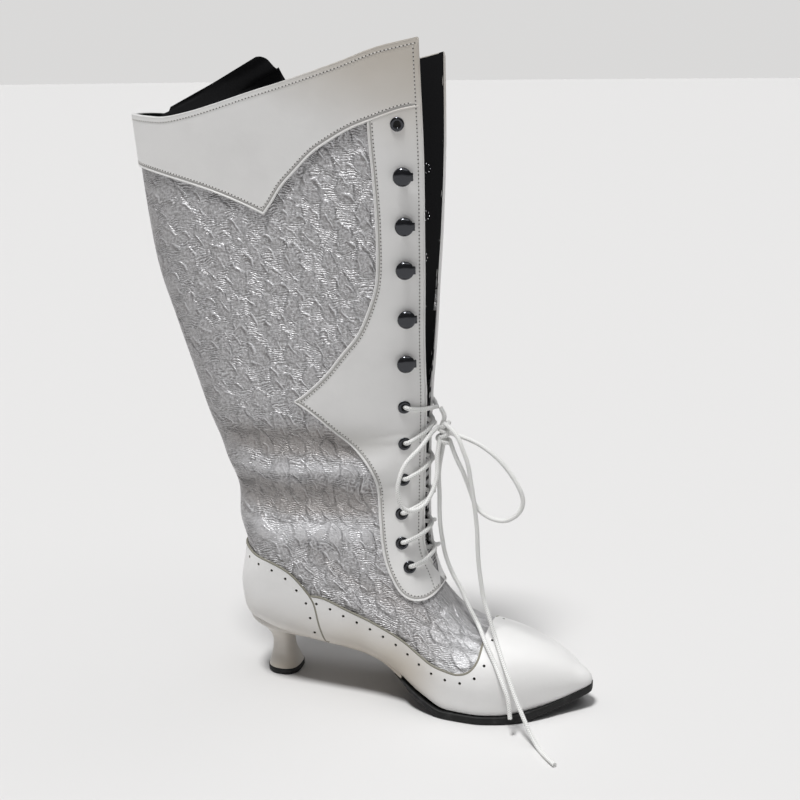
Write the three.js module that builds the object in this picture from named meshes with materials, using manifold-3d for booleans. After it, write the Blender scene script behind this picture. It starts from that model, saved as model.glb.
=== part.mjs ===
// Mid-calf lace-up boot, right foot, millimetres.
// x runs forward to the toe, y to the inner side, z up. The origin is on the floor
// under the middle of the heel's top piece.

import * as THREE from 'three';
import Module from 'manifold-3d';

const wasm = await Module();
wasm.setup();
const { Manifold, Mesh } = wasm;

// Named sizes

const FOOT_LENGTH = 251;
const BALL_WIDTH = 88;
const BOOT_HEIGHT = 444;
const CALF_DEPTH = 207;
const CALF_WIDTH = 78;
const HEEL_HEIGHT = 30;
const HEEL_WIDTH = 48;
const TOE_SPRING = 11;
const SOLE_EDGE = 5.6;
const SHANK_SOLE = 2.4;
const TOP_PIECE = 4.6;
const WALL = 2;
const OVERLAY = 1.3;
const INSOLE = 2.4;
const TONGUE = 3;
const LACE = 3;
const EYELET_WIDTH = 8.6;
const HOOK_WIDTH = 12;
const HOOK_HEIGHT = 6;
const FIT = 0.3;
const FEATHER = 0.6;
const FAR_CORNER_DROP = 8;

const LACE_LINE = 0.4382 * FOOT_LENGTH;

// Sections of the last from the toe to the back of the heel seat. Each runs from a
// point on the bottom up to a point on the crest: at and crestAt are shares of
// FOOT_LENGTH, crest of BOOT_HEIGHT, out, into and mid of BALL_WIDTH. wide is the
// share of the section where it is widest, under and over are its roundness.
const FOOT_ROWS = [
  { at: 0.8821, crestAt: 0.8821, crest: 0.0441, out: 0.0341, into: 0.0727, mid: 0.0534, wide: 0.5, under: 2.4, over: 2.2 },
  { at: 0.8781, crestAt: 0.8777, crest: 0.0491, out: 0.0114, into: 0.0977, mid: 0.0534, wide: 0.42, under: 3, over: 2.2 },
  { at: 0.8677, crestAt: 0.8665, crest: 0.0550, out: -0.0250, into: 0.1295, mid: 0.0511, wide: 0.38, under: 3.6, over: 2.2 },
  { at: 0.8510, crestAt: 0.8486, crest: 0.0617, out: -0.0636, into: 0.1659, mid: 0.0489, wide: 0.36, under: 6, over: 2.2 },
  { at: 0.8207, crestAt: 0.8143, crest: 0.0752, out: -0.1364, into: 0.2364, mid: 0.0455, wide: 0.34, under: 9, over: 2.3 },
  { at: 0.7729, crestAt: 0.7610, crest: 0.0910, out: -0.2455, into: 0.3250, mid: 0.0364, wide: 0.33, under: 12, over: 2.4 },
  { at: 0.7171, crestAt: 0.7012, crest: 0.1041, out: -0.3591, into: 0.3955, mid: 0.0205, wide: 0.32, under: 12, over: 2.4 },
  { at: 0.6574, crestAt: 0.6394, crest: 0.1126, out: -0.4520, into: 0.4409, mid: 0.0068, wide: 0.32, under: 12, over: 2.4 },
  { at: 0.5976, crestAt: 0.5829, crest: 0.1194, out: -0.4890, into: 0.4500, mid: 0.0000, wide: 0.33, under: 12, over: 2.3 },
  { at: 0.5259, crestAt: 0.5390, crest: 0.1351, out: -0.4810, into: 0.4182, mid: -0.0068, wide: 0.33, under: 10, over: 2.1 },
  { at: 0.4462, crestAt: 0.4992, crest: 0.1599, out: -0.4400, into: 0.3636, mid: -0.0068, wide: 0.32, under: 6, over: 2 },
  { at: 0.3586, crestAt: 0.4653, crest: 0.1874, out: -0.3864, into: 0.3295, mid: -0.0045, wide: 0.33, under: 4.6, over: 2 },
  { at: 0.2629, crestAt: 0.4454, crest: 0.2207, out: -0.3580, into: 0.3159, mid: -0.0023, wide: 0.36, under: 4.4, over: 2 },
  { at: 0.1594, crestAt: 0.4359, crest: 0.2523, out: -0.3432, into: 0.3182, mid: 0.0000, wide: 0.38, under: 5, over: 2 },
  { at: 0.0598, crestAt: 0.4327, crest: 0.2793, out: -0.3386, into: 0.3250, mid: 0.0000, wide: 0.36, under: 4.4, over: 2 },
  { at: -0.0319, crestAt: 0.4319, crest: 0.3063, out: -0.3409, into: 0.3341, mid: 0.0000, wide: 0.33, under: 3.6, over: 2 },
  { at: -0.0857, crestAt: 0.4319, crest: 0.3333, out: -0.3409, into: 0.3386, mid: 0.0000, wide: 0.3, under: 2.8, over: 2 },
];

// Sections of the shaft from the heel up to just above the collar. back and front are
// shares of CALF_DEPTH behind and ahead of the lace line, backZ and frontZ of
// BOOT_HEIGHT, half is the half width as a share of CALF_WIDTH.
const SHAFT_ROWS = [
  { back: -0.6540, backZ: 0.1155, front: -0.0077, frontZ: 0.3604, half: 0.3846, wide: 0.3, under: 2.6, over: 2 },
  { back: -0.6700, backZ: 0.1599, front: -0.0072, frontZ: 0.3874, half: 0.3846, wide: 0.32, under: 2.4, over: 2 },
  { back: -0.6522, backZ: 0.2162, front: -0.0063, frontZ: 0.4144, half: 0.3795, wide: 0.36, under: 2.3, over: 2 },
  { back: -0.6667, backZ: 0.2477, front: -0.0048, frontZ: 0.4414, half: 0.3769, wide: 0.4, under: 2.2, over: 2 },
  { back: -0.6812, backZ: 0.2860, front: -0.0019, frontZ: 0.4662, half: 0.3769, wide: 0.43, under: 2.2, over: 2 },
  { back: -0.7029, backZ: 0.3423, front: 0.0039, frontZ: 0.4977, half: 0.3846, wide: 0.45, under: 2.2, over: 2 },
  { back: -0.7633, backZ: 0.4167, front: 0.0217, frontZ: 0.5450, half: 0.4000, wide: 0.46, under: 2.3, over: 2.1 },
  { back: -0.8213, backZ: 0.5000, front: 0.0411, frontZ: 0.5968, half: 0.4154, wide: 0.46, under: 2.3, over: 2.2 },
  { back: -0.8792, backZ: 0.5856, front: 0.0556, frontZ: 0.6599, half: 0.4359, wide: 0.45, under: 2.4, over: 2.3 },
  { back: -0.9372, backZ: 0.6757, front: 0.0870, frontZ: 0.7387, half: 0.4615, wide: 0.44, under: 2.4, over: 2.4 },
  { back: -0.9676, backZ: 0.7770, front: 0.1353, frontZ: 0.8581, half: 0.4821, wide: 0.43, under: 2.4, over: 2.4 },
  { back: -0.9928, backZ: 0.8964, front: 0.1981, frontZ: 1.0203, half: 0.5000, wide: 0.42, under: 2.4, over: 2.4 },
  { back: -1.0048, backZ: 0.9459, front: 0.2271, frontZ: 1.0766, half: 0.5051, wide: 0.42, under: 2.4, over: 2.4 },
];

// Underside of the sole: at is a share of FOOT_LENGTH, heel and toe are the shares of
// HEEL_HEIGHT and TOE_SPRING that lift it, edge the share of the way from SHANK_SOLE
// to SOLE_EDGE in its thickness.
const GROUND_ROWS = [
  { at: -0.15, heel: 1.7, toe: 0, edge: 0 },
  { at: -0.104, heel: 1.53, toe: 0, edge: 0 },
  { at: -0.04, heel: 1.34, toe: 0, edge: 0 },
  { at: 0.048, heel: 1.18, toe: 0, edge: 0 },
  { at: 0.112, heel: 1.135, toe: 0, edge: 0 },
  { at: 0.168, heel: 1.08, toe: 0, edge: 0 },
  { at: 0.22, heel: 1.025, toe: 0, edge: 0 },
  { at: 0.26, heel: 0.995, toe: 0, edge: 0 },
  { at: 0.3, heel: 0.925, toe: 0, edge: 0.05 },
  { at: 0.335, heel: 0.82, toe: 0, edge: 0.1 },
  { at: 0.375, heel: 0.64, toe: 0, edge: 0.2 },
  { at: 0.408, heel: 0.455, toe: 0, edge: 0.38 },
  { at: 0.44, heel: 0.275, toe: 0, edge: 0.62 },
  { at: 0.48, heel: 0.085, toe: 0, edge: 0.88 },
  { at: 0.512, heel: 0, toe: 0, edge: 1 },
  { at: 0.665, heel: 0, toe: 0, edge: 1 },
  { at: 0.713, heel: 0, toe: 0.08, edge: 1 },
  { at: 0.75, heel: 0, toe: 0.2, edge: 1 },
  { at: 0.785, heel: 0, toe: 0.36, edge: 1 },
  { at: 0.82, heel: 0, toe: 0.56, edge: 1 },
  { at: 0.857, heel: 0, toe: 0.82, edge: 1 },
  { at: 0.892, heel: 0, toe: 1.09, edge: 1 },
];

// Plan of the sole: at is a share of FOOT_LENGTH, out and into of BALL_WIDTH.
const SOLE_ROWS = [
  { at: 0.889, out: 0.022, into: 0.091 },
  { at: 0.884, out: -0.01, into: 0.125 },
  { at: 0.87, out: -0.05, into: 0.165 },
  { at: 0.8506, out: -0.1, into: 0.205 },
  { at: 0.8187, out: -0.176, into: 0.273 },
  { at: 0.7729, out: -0.295, into: 0.358 },
  { at: 0.7171, out: -0.409, into: 0.426 },
  { at: 0.6574, out: -0.478, into: 0.472 },
  { at: 0.5976, out: -0.512, into: 0.478 },
  { at: 0.5259, out: -0.502, into: 0.445 },
  { at: 0.4462, out: -0.45, into: 0.378 },
  { at: 0.3745, out: -0.375, into: 0.318 },
  { at: 0.2988, out: -0.305, into: 0.273 },
  { at: 0.2, out: -0.265, into: 0.255 },
  { at: 0.1, out: -0.258, into: 0.255 },
  { at: 0.02, out: -0.262, into: 0.26 },
  { at: -0.0319, out: -0.25, into: 0.25 },
  { at: -0.068, out: -0.208, into: 0.208 },
  { at: -0.089, out: -0.145, into: 0.145 },
  { at: -0.101, out: -0.068, into: 0.068 },
];

// Outlines seen from the side: at is a share of FOOT_LENGTH, up of BOOT_HEIGHT.
const OPENING_EDGE = [
  { at: 0.4700, up: 0.1820 },
  { at: 0.4512, up: 0.2090 },
  { at: 0.4370, up: 0.2300 },
  { at: 0.4260, up: 0.2545 },
  { at: 0.4243, up: 0.3536 },
  { at: 0.4295, up: 0.4775 },
  { at: 0.4370, up: 0.6050 },
  { at: 0.4446, up: 0.7421 },
  { at: 0.4468, up: 0.8500 },
  { at: 0.4402, up: 1.0000 },
  { at: 0.4380, up: 1.1200 },
];
const COLLAR_EDGE = [
  { at: -0.4400, up: 0.8968 },
  { at: -0.3590, up: 0.8962 },
  { at: -0.2992, up: 0.8944 },
  { at: -0.2418, up: 0.8937 },
  { at: -0.1657, up: 0.9007 },
  { at: -0.0936, up: 0.9108 },
  { at: 0.0147, up: 0.9284 },
  { at: 0.1040, up: 0.9423 },
  { at: 0.2506, up: 0.9682 },
  { at: 0.3355, up: 0.9858 },
  { at: 0.4359, up: 1.0002 },
  { at: 0.7000, up: 1.0400 },
];
const CUFF_REAR = [
  { at: -0.4800, up: 0.8280 },
  { at: -0.3482, up: 0.8209 },
  { at: -0.2127, up: 0.8063 },
  { at: -0.1000, up: 0.7900 },
  { at: -0.0040, up: 0.7703 },
  { at: 0.0382, up: 0.7597 },
];
const CUFF_FORE = [
  { at: 0.0382, up: 0.7597 },
  { at: 0.0586, up: 0.7748 },
  { at: 0.0888, up: 0.7995 },
  { at: 0.1275, up: 0.8221 },
  { at: 0.1765, up: 0.8484 },
  { at: 0.2239, up: 0.8657 },
  { at: 0.2757, up: 0.8815 },
  { at: 0.3335, up: 0.8939 },
  { at: 0.3900, up: 0.9050 },
  { at: 0.4500, up: 0.9120 },
];
const FACING_UPPER = [
  { at: 0.3147, up: 0.9300 },
  { at: 0.3187, up: 0.8649 },
  { at: 0.3247, up: 0.8198 },
  { at: 0.3307, up: 0.7410 },
  { at: 0.3255, up: 0.6644 },
  { at: 0.3068, up: 0.6261 },
  { at: 0.2749, up: 0.5856 },
  { at: 0.2311, up: 0.5541 },
  { at: 0.1833, up: 0.5203 },
  { at: 0.1235, up: 0.4887 },
  { at: 0.0976, up: 0.4786 },
];
const FACING_LOWER = [
  { at: 0.0976, up: 0.4786 },
  { at: 0.1275, up: 0.4685 },
  { at: 0.1594, up: 0.4550 },
  { at: 0.1992, up: 0.4347 },
  { at: 0.2534, up: 0.4077 },
  { at: 0.2908, up: 0.3806 },
  { at: 0.3108, up: 0.3514 },
  { at: 0.3177, up: 0.2939 },
  { at: 0.3240, up: 0.2600 },
  { at: 0.3350, up: 0.2300 },
  { at: 0.3540, up: 0.2050 },
  { at: 0.3800, up: 0.1830 },
  { at: 0.4100, up: 0.1730 },
  { at: 0.4440, up: 0.1720 },
  { at: 0.4700, up: 0.1800 },
  { at: 0.5100, up: 0.2000 },
];
const COUNTER_TOP = [
  { at: -0.2400, up: 0.2290 },
  { at: -0.0932, up: 0.2252 },
  { at: -0.0450, up: 0.2185 },
  { at: 0.0151, up: 0.2117 },
  { at: 0.0614, up: 0.1995 },
  { at: 0.0996, up: 0.1793 },
  { at: 0.1219, up: 0.1644 },
];
const HEEL_SEAM = [
  { at: 0.1219, up: 0.1644 },
  { at: 0.1331, up: 0.1523 },
  { at: 0.1474, up: 0.1171 },
  { at: 0.1660, up: 0.0800 },
  { at: 0.1760, up: 0.0450 },
];
const WING_TOP = [
  { at: 0.1219, up: 0.1644 },
  { at: 0.1574, up: 0.1633 },
  { at: 0.2271, up: 0.1486 },
  { at: 0.3068, up: 0.1329 },
  { at: 0.3904, up: 0.1126 },
  { at: 0.4446, up: 0.0946 },
  { at: 0.4821, up: 0.0833 },
  { at: 0.5203, up: 0.0779 },
  { at: 0.5554, up: 0.0752 },
  { at: 0.5849, up: 0.0804 },
  { at: 0.6028, up: 0.0930 },
  { at: 0.6060, up: 0.1080 },
  { at: 0.6030, up: 0.1500 },
];

// Lace holes from the top down: at is a share of FOOT_LENGTH, up of BOOT_HEIGHT.
const LACING = [
  { at: 0.3880, up: 0.8862, hook: false },
  { at: 0.3975, up: 0.8150, hook: true },
  { at: 0.3981, up: 0.7454, hook: true },
  { at: 0.3955, up: 0.6829, hook: true },
  { at: 0.3949, up: 0.6102, hook: true },
  { at: 0.3887, up: 0.5433, hook: true },
  { at: 0.3817, up: 0.4737, hook: false },
  { at: 0.3808, up: 0.4155, hook: false },
  { at: 0.3764, up: 0.3588, hook: false },
  { at: 0.3722, up: 0.3044, hook: false },
  { at: 0.3746, up: 0.2583, hook: false },
  { at: 0.3970, up: 0.2211, hook: false },
];

// Rings of the heel from the seat down: rear and fore are shares of FOOT_LENGTH, drop
// the share of the way from the seat to the top piece, half a share of HEEL_WIDTH.
const HEEL_ROWS = [
  { rear: -0.091, fore: 0.031, drop: 0, half: 0.42 },
  { rear: -0.076, fore: 0.0235, drop: 0.11, half: 0.345 },
  { rear: -0.0575, fore: 0.0205, drop: 0.22, half: 0.275 },
  { rear: -0.0445, fore: 0.019, drop: 0.35, half: 0.225 },
  { rear: -0.039, fore: 0.0185, drop: 0.5, half: 0.205 },
  { rear: -0.0405, fore: 0.0215, drop: 0.66, half: 0.21 },
  { rear: -0.0475, fore: 0.0325, drop: 0.86, half: 0.245 },
  { rear: -0.0535, fore: 0.0415, drop: 1, half: 0.275 },
];

// Middle line of the tongue: at is a share of FOOT_LENGTH,
// side of BALL_WIDTH, up of BOOT_HEIGHT, half its half width as a share of BALL_WIDTH,
// turn in degrees from straight across the foot.
const TONGUE_ROWS = [
  { at: 0.4560, side: 0, up: 0.1640, half: 0.1, turn: 0 },
  { at: 0.4350, side: 0, up: 0.2010, half: 0.16, turn: 0 },
  { at: 0.4080, side: 0, up: 0.2500, half: 0.19, turn: 2 },
  { at: 0.3550, side: 0, up: 0.3400, half: 0.23, turn: 6 },
  { at: 0.2700, side: 0, up: 0.4900, half: 0.28, turn: 14 },
  { at: 0.1700, side: 0.01, up: 0.6400, half: 0.34, turn: 28 },
  { at: 0.0450, side: 0.03, up: 0.7750, half: 0.41, turn: 48 },
  { at: -0.0750, side: 0.07, up: 0.8650, half: 0.47, turn: 66 },
  { at: -0.1480, side: 0.1, up: 0.9130, half: 0.5, turn: 74 },
  { at: -0.1670, side: 0.11, up: 0.9340, half: 0.45, turn: 76 },
  { at: -0.1750, side: 0.11, up: 0.9420, half: 0.38, turn: 77 },
];

// Routes of the loose lace: at is a share of FOOT_LENGTH, side of BALL_WIDTH, up of
// BOOT_HEIGHT.
const LACE_KNOT = [
  { at: 0.4629, side: 0.0000, up: 0.4662 },
  { at: 0.4749, side: -0.0057, up: 0.4516 },
  { at: 0.4669, side: -0.0057, up: 0.4358 },
  { at: 0.4765, side: 0.0000, up: 0.4178 },
];
const BOW_LOOP_OUTER = [
  { at: 0.4614, side: -0.0409, up: 0.4381 },
  { at: 0.4486, side: -0.1193, up: 0.4302 },
  { at: 0.4318, side: -0.2273, up: 0.4148 },
  { at: 0.4019, side: -0.3636, up: 0.3936 },
  { at: 0.3898, side: -0.4205, up: 0.3702 },
  { at: 0.3894, side: -0.4318, up: 0.3506 },
  { at: 0.4003, side: -0.4091, up: 0.3293 },
  { at: 0.4202, side: -0.3636, up: 0.3225 },
  { at: 0.4440, side: -0.2727, up: 0.3270 },
  { at: 0.4610, side: -0.1932, up: 0.3464 },
  { at: 0.4677, side: -0.1477, up: 0.3676 },
  { at: 0.4647, side: -0.1023, up: 0.3963 },
  { at: 0.4669, side: -0.0386, up: 0.4241 },
];
const BOW_LOOP_FORE = [
  { at: 0.4777, side: -0.0102, up: 0.4286 },
  { at: 0.5370, side: -0.0682, up: 0.4244 },
  { at: 0.5798, side: -0.0909, up: 0.4167 },
  { at: 0.6278, side: -0.1136, up: 0.4001 },
  { at: 0.6639, side: -0.1250, up: 0.3792 },
  { at: 0.6894, side: -0.1364, up: 0.3579 },
  { at: 0.7006, side: -0.1364, up: 0.3396 },
  { at: 0.6957, side: -0.1364, up: 0.3236 },
  { at: 0.6747, side: -0.1364, up: 0.3098 },
  { at: 0.6470, side: -0.1250, up: 0.3026 },
  { at: 0.6107, side: -0.1136, up: 0.3046 },
  { at: 0.5823, side: -0.1023, up: 0.3133 },
  { at: 0.5674, side: -0.0909, up: 0.3229 },
  { at: 0.5525, side: -0.0795, up: 0.3437 },
  { at: 0.5320, side: -0.0682, up: 0.3706 },
  { at: 0.5105, side: -0.0455, up: 0.3919 },
  { at: 0.4896, side: -0.0136, up: 0.4167 },
];
const LACE_END_ONE = [
  { at: 0.4717, side: 0.0023, up: 0.4097 },
  { at: 0.4594, side: 0.0000, up: 0.3655 },
  { at: 0.4618, side: -0.0114, up: 0.3259 },
  { at: 0.4629, side: -0.0227, up: 0.3023 },
  { at: 0.4660, side: -0.0341, up: 0.2804 },
  { at: 0.4727, side: -0.0455, up: 0.2586 },
  { at: 0.4826, side: -0.0455, up: 0.2311 },
  { at: 0.5011, side: -0.0455, up: 0.2040 },
  { at: 0.5281, side: -0.0568, up: 0.1781 },
  { at: 0.5556, side: -0.0909, up: 0.1510 },
  { at: 0.5813, side: -0.1252, up: 0.1295 },
  { at: 0.6196, side: -0.3135, up: 0.1161 },
  { at: 0.6526, side: -0.4104, up: 0.0942 },
  { at: 0.6836, side: -0.5284, up: 0.0750 },
  { at: 0.7009, side: -0.5739, up: 0.0565 },
  { at: 0.7091, side: -0.6023, up: 0.0290 },
];
const LACE_END_TWO = [
  { at: 0.4777, side: -0.0409, up: 0.4428 },
  { at: 0.5000, side: -0.0966, up: 0.4392 },
  { at: 0.5240, side: -0.1364, up: 0.4277 },
  { at: 0.5392, side: -0.1534, up: 0.4107 },
  { at: 0.5535, side: -0.1591, up: 0.3884 },
  { at: 0.5605, side: -0.1591, up: 0.3652 },
  { at: 0.5676, side: -0.1591, up: 0.3419 },
  { at: 0.5733, side: -0.1591, up: 0.3184 },
  { at: 0.5792, side: -0.1591, up: 0.2868 },
  { at: 0.5825, side: -0.1591, up: 0.2466 },
  { at: 0.5885, side: -0.1591, up: 0.2144 },
  { at: 0.6011, side: -0.1705, up: 0.1752 },
  { at: 0.6195, side: -0.2045, up: 0.1497 },
  { at: 0.6401, side: -0.2496, up: 0.1211 },
  { at: 0.6698, side: -0.3775, up: 0.0984 },
  { at: 0.6956, side: -0.4773, up: 0.0790 },
  { at: 0.7209, side: -0.5568, up: 0.0565 },
  { at: 0.7446, side: -0.6193, up: 0.0373 },
  { at: 0.7673, side: -0.6705, up: 0.0187 },
  { at: 0.7933, side: -0.7356, up: 0.0038 },
  { at: 0.8210, side: -0.8415, up: 0.0038 },
  { at: 0.8485, side: -0.9306, up: 0.0038 },
];

// Smooth reading of a table's column at a row number that may lie between rows.
function slopes(values, places) {
  const count = values.length;
  const steps = [];
  for (let i = 0; i < count - 1; i += 1) {
    steps.push((values[i + 1] - values[i]) / (places[i + 1] - places[i]));
  }
  const out = [];
  for (let i = 0; i < count; i += 1) {
    if (i === 0) out.push(steps[0]);
    else if (i === count - 1) out.push(steps[count - 2]);
    else if (steps[i - 1] * steps[i] <= 0) out.push(0);
    else out.push((2 * steps[i - 1] * steps[i]) / (steps[i - 1] + steps[i]));
  }
  return out;
}

function curveThrough(places, values) {
  const tangents = slopes(values, places);
  return (place) => {
    const last = places.length - 2;
    let i = 0;
    while (i < last && place > places[i + 1]) i += 1;
    const gap = places[i + 1] - places[i];
    const u = Math.min(1, Math.max(0, (place - places[i]) / gap));
    const a = (1 + 2 * u) * (1 - u) * (1 - u);
    const b = u * (1 - u) * (1 - u) * gap;
    const c = u * u * (3 - 2 * u);
    const d = u * u * (u - 1) * gap;
    return a * values[i] + b * tangents[i] + c * values[i + 1] + d * tangents[i + 1];
  };
}

const groundAt = GROUND_ROWS.map((row) => row.at * FOOT_LENGTH);
const soleUnder = curveThrough(
  groundAt,
  GROUND_ROWS.map((row) => row.heel * HEEL_HEIGHT + row.toe * TOE_SPRING),
);
const soleThick = curveThrough(
  groundAt,
  GROUND_ROWS.map((row) => SHANK_SOLE + row.edge * (SOLE_EDGE - SHANK_SOLE)),
);

function soleTop(x) {
  return soleUnder(x) + soleThick(x);
}

function lastBottom(x) {
  return soleTop(x) + FIT;
}

// One list of sections for foot and shaft, all in millimetres.
const sections = [];
for (const row of FOOT_ROWS) {
  const x = row.at * FOOT_LENGTH;
  sections.push({
    backX: x,
    backZ: lastBottom(x),
    frontX: row.crestAt * FOOT_LENGTH,
    frontZ: row.crest * BOOT_HEIGHT,
    out: row.out * BALL_WIDTH,
    into: row.into * BALL_WIDTH,
    mid: row.mid * BALL_WIDTH,
    wide: row.wide,
    under: row.under,
    over: row.over,
  });
}
for (const row of SHAFT_ROWS) {
  sections.push({
    backX: LACE_LINE + row.back * CALF_DEPTH,
    backZ: row.backZ * BOOT_HEIGHT,
    frontX: LACE_LINE + row.front * CALF_DEPTH,
    frontZ: row.frontZ * BOOT_HEIGHT,
    out: -row.half * CALF_WIDTH,
    into: row.half * CALF_WIDTH,
    mid: 0,
    wide: row.wide,
    under: row.under,
    over: row.over,
  });
}
const LAST_ROW = sections.length - 1;
const rowNumbers = sections.map((row, i) => i);
const column = {};
for (const key of Object.keys(sections[0])) {
  column[key] = curveThrough(rowNumbers, sections.map((row) => row[key]));
}

// Point of the last's surface on section t at angle phi, 0 on the crest.
function skin(t, phi) {
  const c = Math.cos(phi);
  const s = Math.sin(phi);
  const power = c >= 0 ? column.over(t) : column.under(t);
  const reach = (Math.abs(c) ** power + Math.abs(s) ** power) ** (-1 / power);
  const wide = column.wide(t);
  const share = c >= 0 ? wide + (1 - wide) * c * reach : wide + wide * c * reach;
  const mid = column.mid(t);
  const side = s >= 0 ? mid - column.out(t) : column.into(t) - mid;
  const backX = column.backX(t);
  const backZ = column.backZ(t);
  return new THREE.Vector3(
    backX + share * (column.frontX(t) - backX),
    mid - s * reach * side,
    backZ + share * (column.frontZ(t) - backZ),
  );
}

function skinNormal(t, phi) {
  const dt = 0.04;
  const dp = 0.03;
  const low = Math.max(0, t - dt);
  const high = Math.min(LAST_ROW, t + dt);
  const along = skin(high, phi).sub(skin(low, phi));
  const round = skin(t, phi + dp).sub(skin(t, phi - dp));
  return along.cross(round).normalize();
}

function offsetSkin(t, phi, distance) {
  return skin(t, phi).addScaledVector(skinNormal(t, phi), distance);
}

// Solids from triangles.
function toSolid(points, faces) {
  const data = new Float32Array(points.length * 3);
  points.forEach((p, i) => {
    data[3 * i] = p.x;
    data[3 * i + 1] = p.y;
    data[3 * i + 2] = p.z;
  });
  const mesh = new Mesh({
    numProp: 3,
    vertProperties: data,
    triVerts: new Uint32Array(faces.flat()),
  });
  return new Manifold(mesh);
}

// Loft through closed rings of equal length, capped at both ends.
function loft(rings) {
  const points = [];
  const faces = [];
  const n = rings[0].length;
  for (const ring of rings) points.push(...ring);
  for (let r = 0; r < rings.length - 1; r += 1) {
    for (let i = 0; i < n; i += 1) {
      const j = (i + 1) % n;
      const a = r * n + i;
      const b = r * n + j;
      const c = a + n;
      const d = b + n;
      faces.push([a, b, d]);
      faces.push([a, d, c]);
    }
  }
  const caps = [rings[0], rings[rings.length - 1]];
  caps.forEach((ring, k) => {
    const centre = new THREE.Vector3();
    for (const p of ring) centre.addScaledVector(p, 1 / n);
    points.push(centre);
    const hub = points.length - 1;
    const base = k === 0 ? 0 : (rings.length - 1) * n;
    for (let i = 0; i < n; i += 1) {
      const j = (i + 1) % n;
      faces.push(k === 0 ? [hub, base + j, base + i] : [hub, base + i, base + j]);
    }
  });
  const solid = toSolid(points, faces);
  if (solid.volume() >= 0) return solid;
  return toSolid(points, faces.map((f) => [f[0], f[2], f[1]]));
}

const ROUND_STEPS = 30;
const FORM_ROWS = [];
for (let t = 0; t <= LAST_ROW; t += 1) FORM_ROWS.push(t);

// The whole last, closed, grown or shrunk by a distance along its normals.
function form(distance) {
  const rings = FORM_ROWS.map((t) => {
    const ring = [];
    for (let i = 0; i < ROUND_STEPS; i += 1) {
      ring.push(offsetSkin(t, (i / ROUND_STEPS) * 2 * Math.PI, distance));
    }
    return ring;
  });
  return loft(rings);
}

// Flat outline in x and z pushed through the whole width, as a solid.
function sideSlab(outline) {
  const shape = outline.map((p) => [p[0], p[1]]);
  let area = 0;
  shape.forEach((p, i) => {
    const q = shape[(i + 1) % shape.length];
    area += p[0] * q[1] - q[0] * p[1];
  });
  if (area < 0) shape.reverse();
  const width = 3 * BALL_WIDTH;
  return Manifold.extrude([shape], width).translate([0, 0, -width / 2]).rotate([90, 0, 0]);
}

// Points of an outline, smoothed, count steps per table.
function trace(rows, count) {
  const curve = new THREE.CatmullRomCurve3(
    rows.map((row) => new THREE.Vector3(row.at * FOOT_LENGTH, 0, row.up * BOOT_HEIGHT)),
    false,
    'centripetal',
  );
  return curve.getPoints(count).map((p) => [p.x, p.z]);
}

function moved(points, dx, dz) {
  return points.map((p) => [p[0] + dx, p[1] + dz]);
}

// Everything above the collar's edge, a little lower on the inner side.
function aboveCollar(lift) {
  const edge = trace(COLLAR_EDGE, 24);
  const left = [];
  const right = [];
  const half = BALL_WIDTH;
  for (const [x, z] of edge) {
    const share = Math.max(0, x + 97) / 207;
    const slope = (FAR_CORNER_DROP / (0.75 * CALF_WIDTH)) * share;
    left.push(new THREE.Vector3(x, -half, z + slope * (half - 30) + lift));
    right.push(new THREE.Vector3(x, half, z - slope * (half + 30) + lift));
  }
  const top = 1.4 * BOOT_HEIGHT;
  const rings = edge.map((p, i) => [
    left[i],
    right[i],
    new THREE.Vector3(p[0], half, top),
    new THREE.Vector3(p[0], -half, top),
  ]);
  return loft(rings);
}

// Everything in front of the lace opening's edge.
function aheadOfOpening(dx) {
  const edge = moved(trace(OPENING_EDGE, 30), dx, 0);
  const far = 2 * FOOT_LENGTH;
  const foot = edge[0];
  const top = edge[edge.length - 1];
  return sideSlab([...edge, [far, top[1]], [far, foot[1]]]);
}

// Everything below the last's bottom, lifted a little to leave the sides' lower edge.
function belowBottom(lift) {
  const from = -0.3 * FOOT_LENGTH;
  const to = 1.1 * FOOT_LENGTH;
  const steps = 44;
  const edge = [];
  for (let i = 0; i <= steps; i += 1) {
    const x = from + ((to - from) * i) / steps;
    edge.push([x, lastBottom(x) + lift]);
  }
  return sideSlab([...edge, [to, -60], [from, -60]]);
}

// Flat piece along the foot: upright sides, top and bottom that follow a height.
function plate(rows, topOf, bottomOf) {
  const rings = rows.map((row) => [
    new THREE.Vector3(row.x, row.out, topOf(row.x)),
    new THREE.Vector3(row.x, row.out, bottomOf(row.x)),
    new THREE.Vector3(row.x, row.into, bottomOf(row.x)),
    new THREE.Vector3(row.x, row.into, topOf(row.x)),
  ]);
  return loft(rings);
}

function solePlan(grow) {
  const outAt = SOLE_ROWS.map((row) => -row.at * FOOT_LENGTH);
  const out = curveThrough(outAt, SOLE_ROWS.map((row) => row.out * BALL_WIDTH - grow));
  const into = curveThrough(outAt, SOLE_ROWS.map((row) => row.into * BALL_WIDTH + grow));
  const stations = [];
  SOLE_ROWS.forEach((row, i) => {
    const x = row.at * FOOT_LENGTH;
    stations.push(x);
    const next = SOLE_ROWS[i + 1];
    if (next && x - next.at * FOOT_LENGTH > 8) {
      const gap = x - next.at * FOOT_LENGTH;
      const parts = Math.ceil(gap / 9);
      for (let k = 1; k < parts; k += 1) stations.push(x - (gap * k) / parts);
    }
  });
  return stations.map((x) => ({ x, out: out(-x), into: into(-x) }));
}

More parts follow.
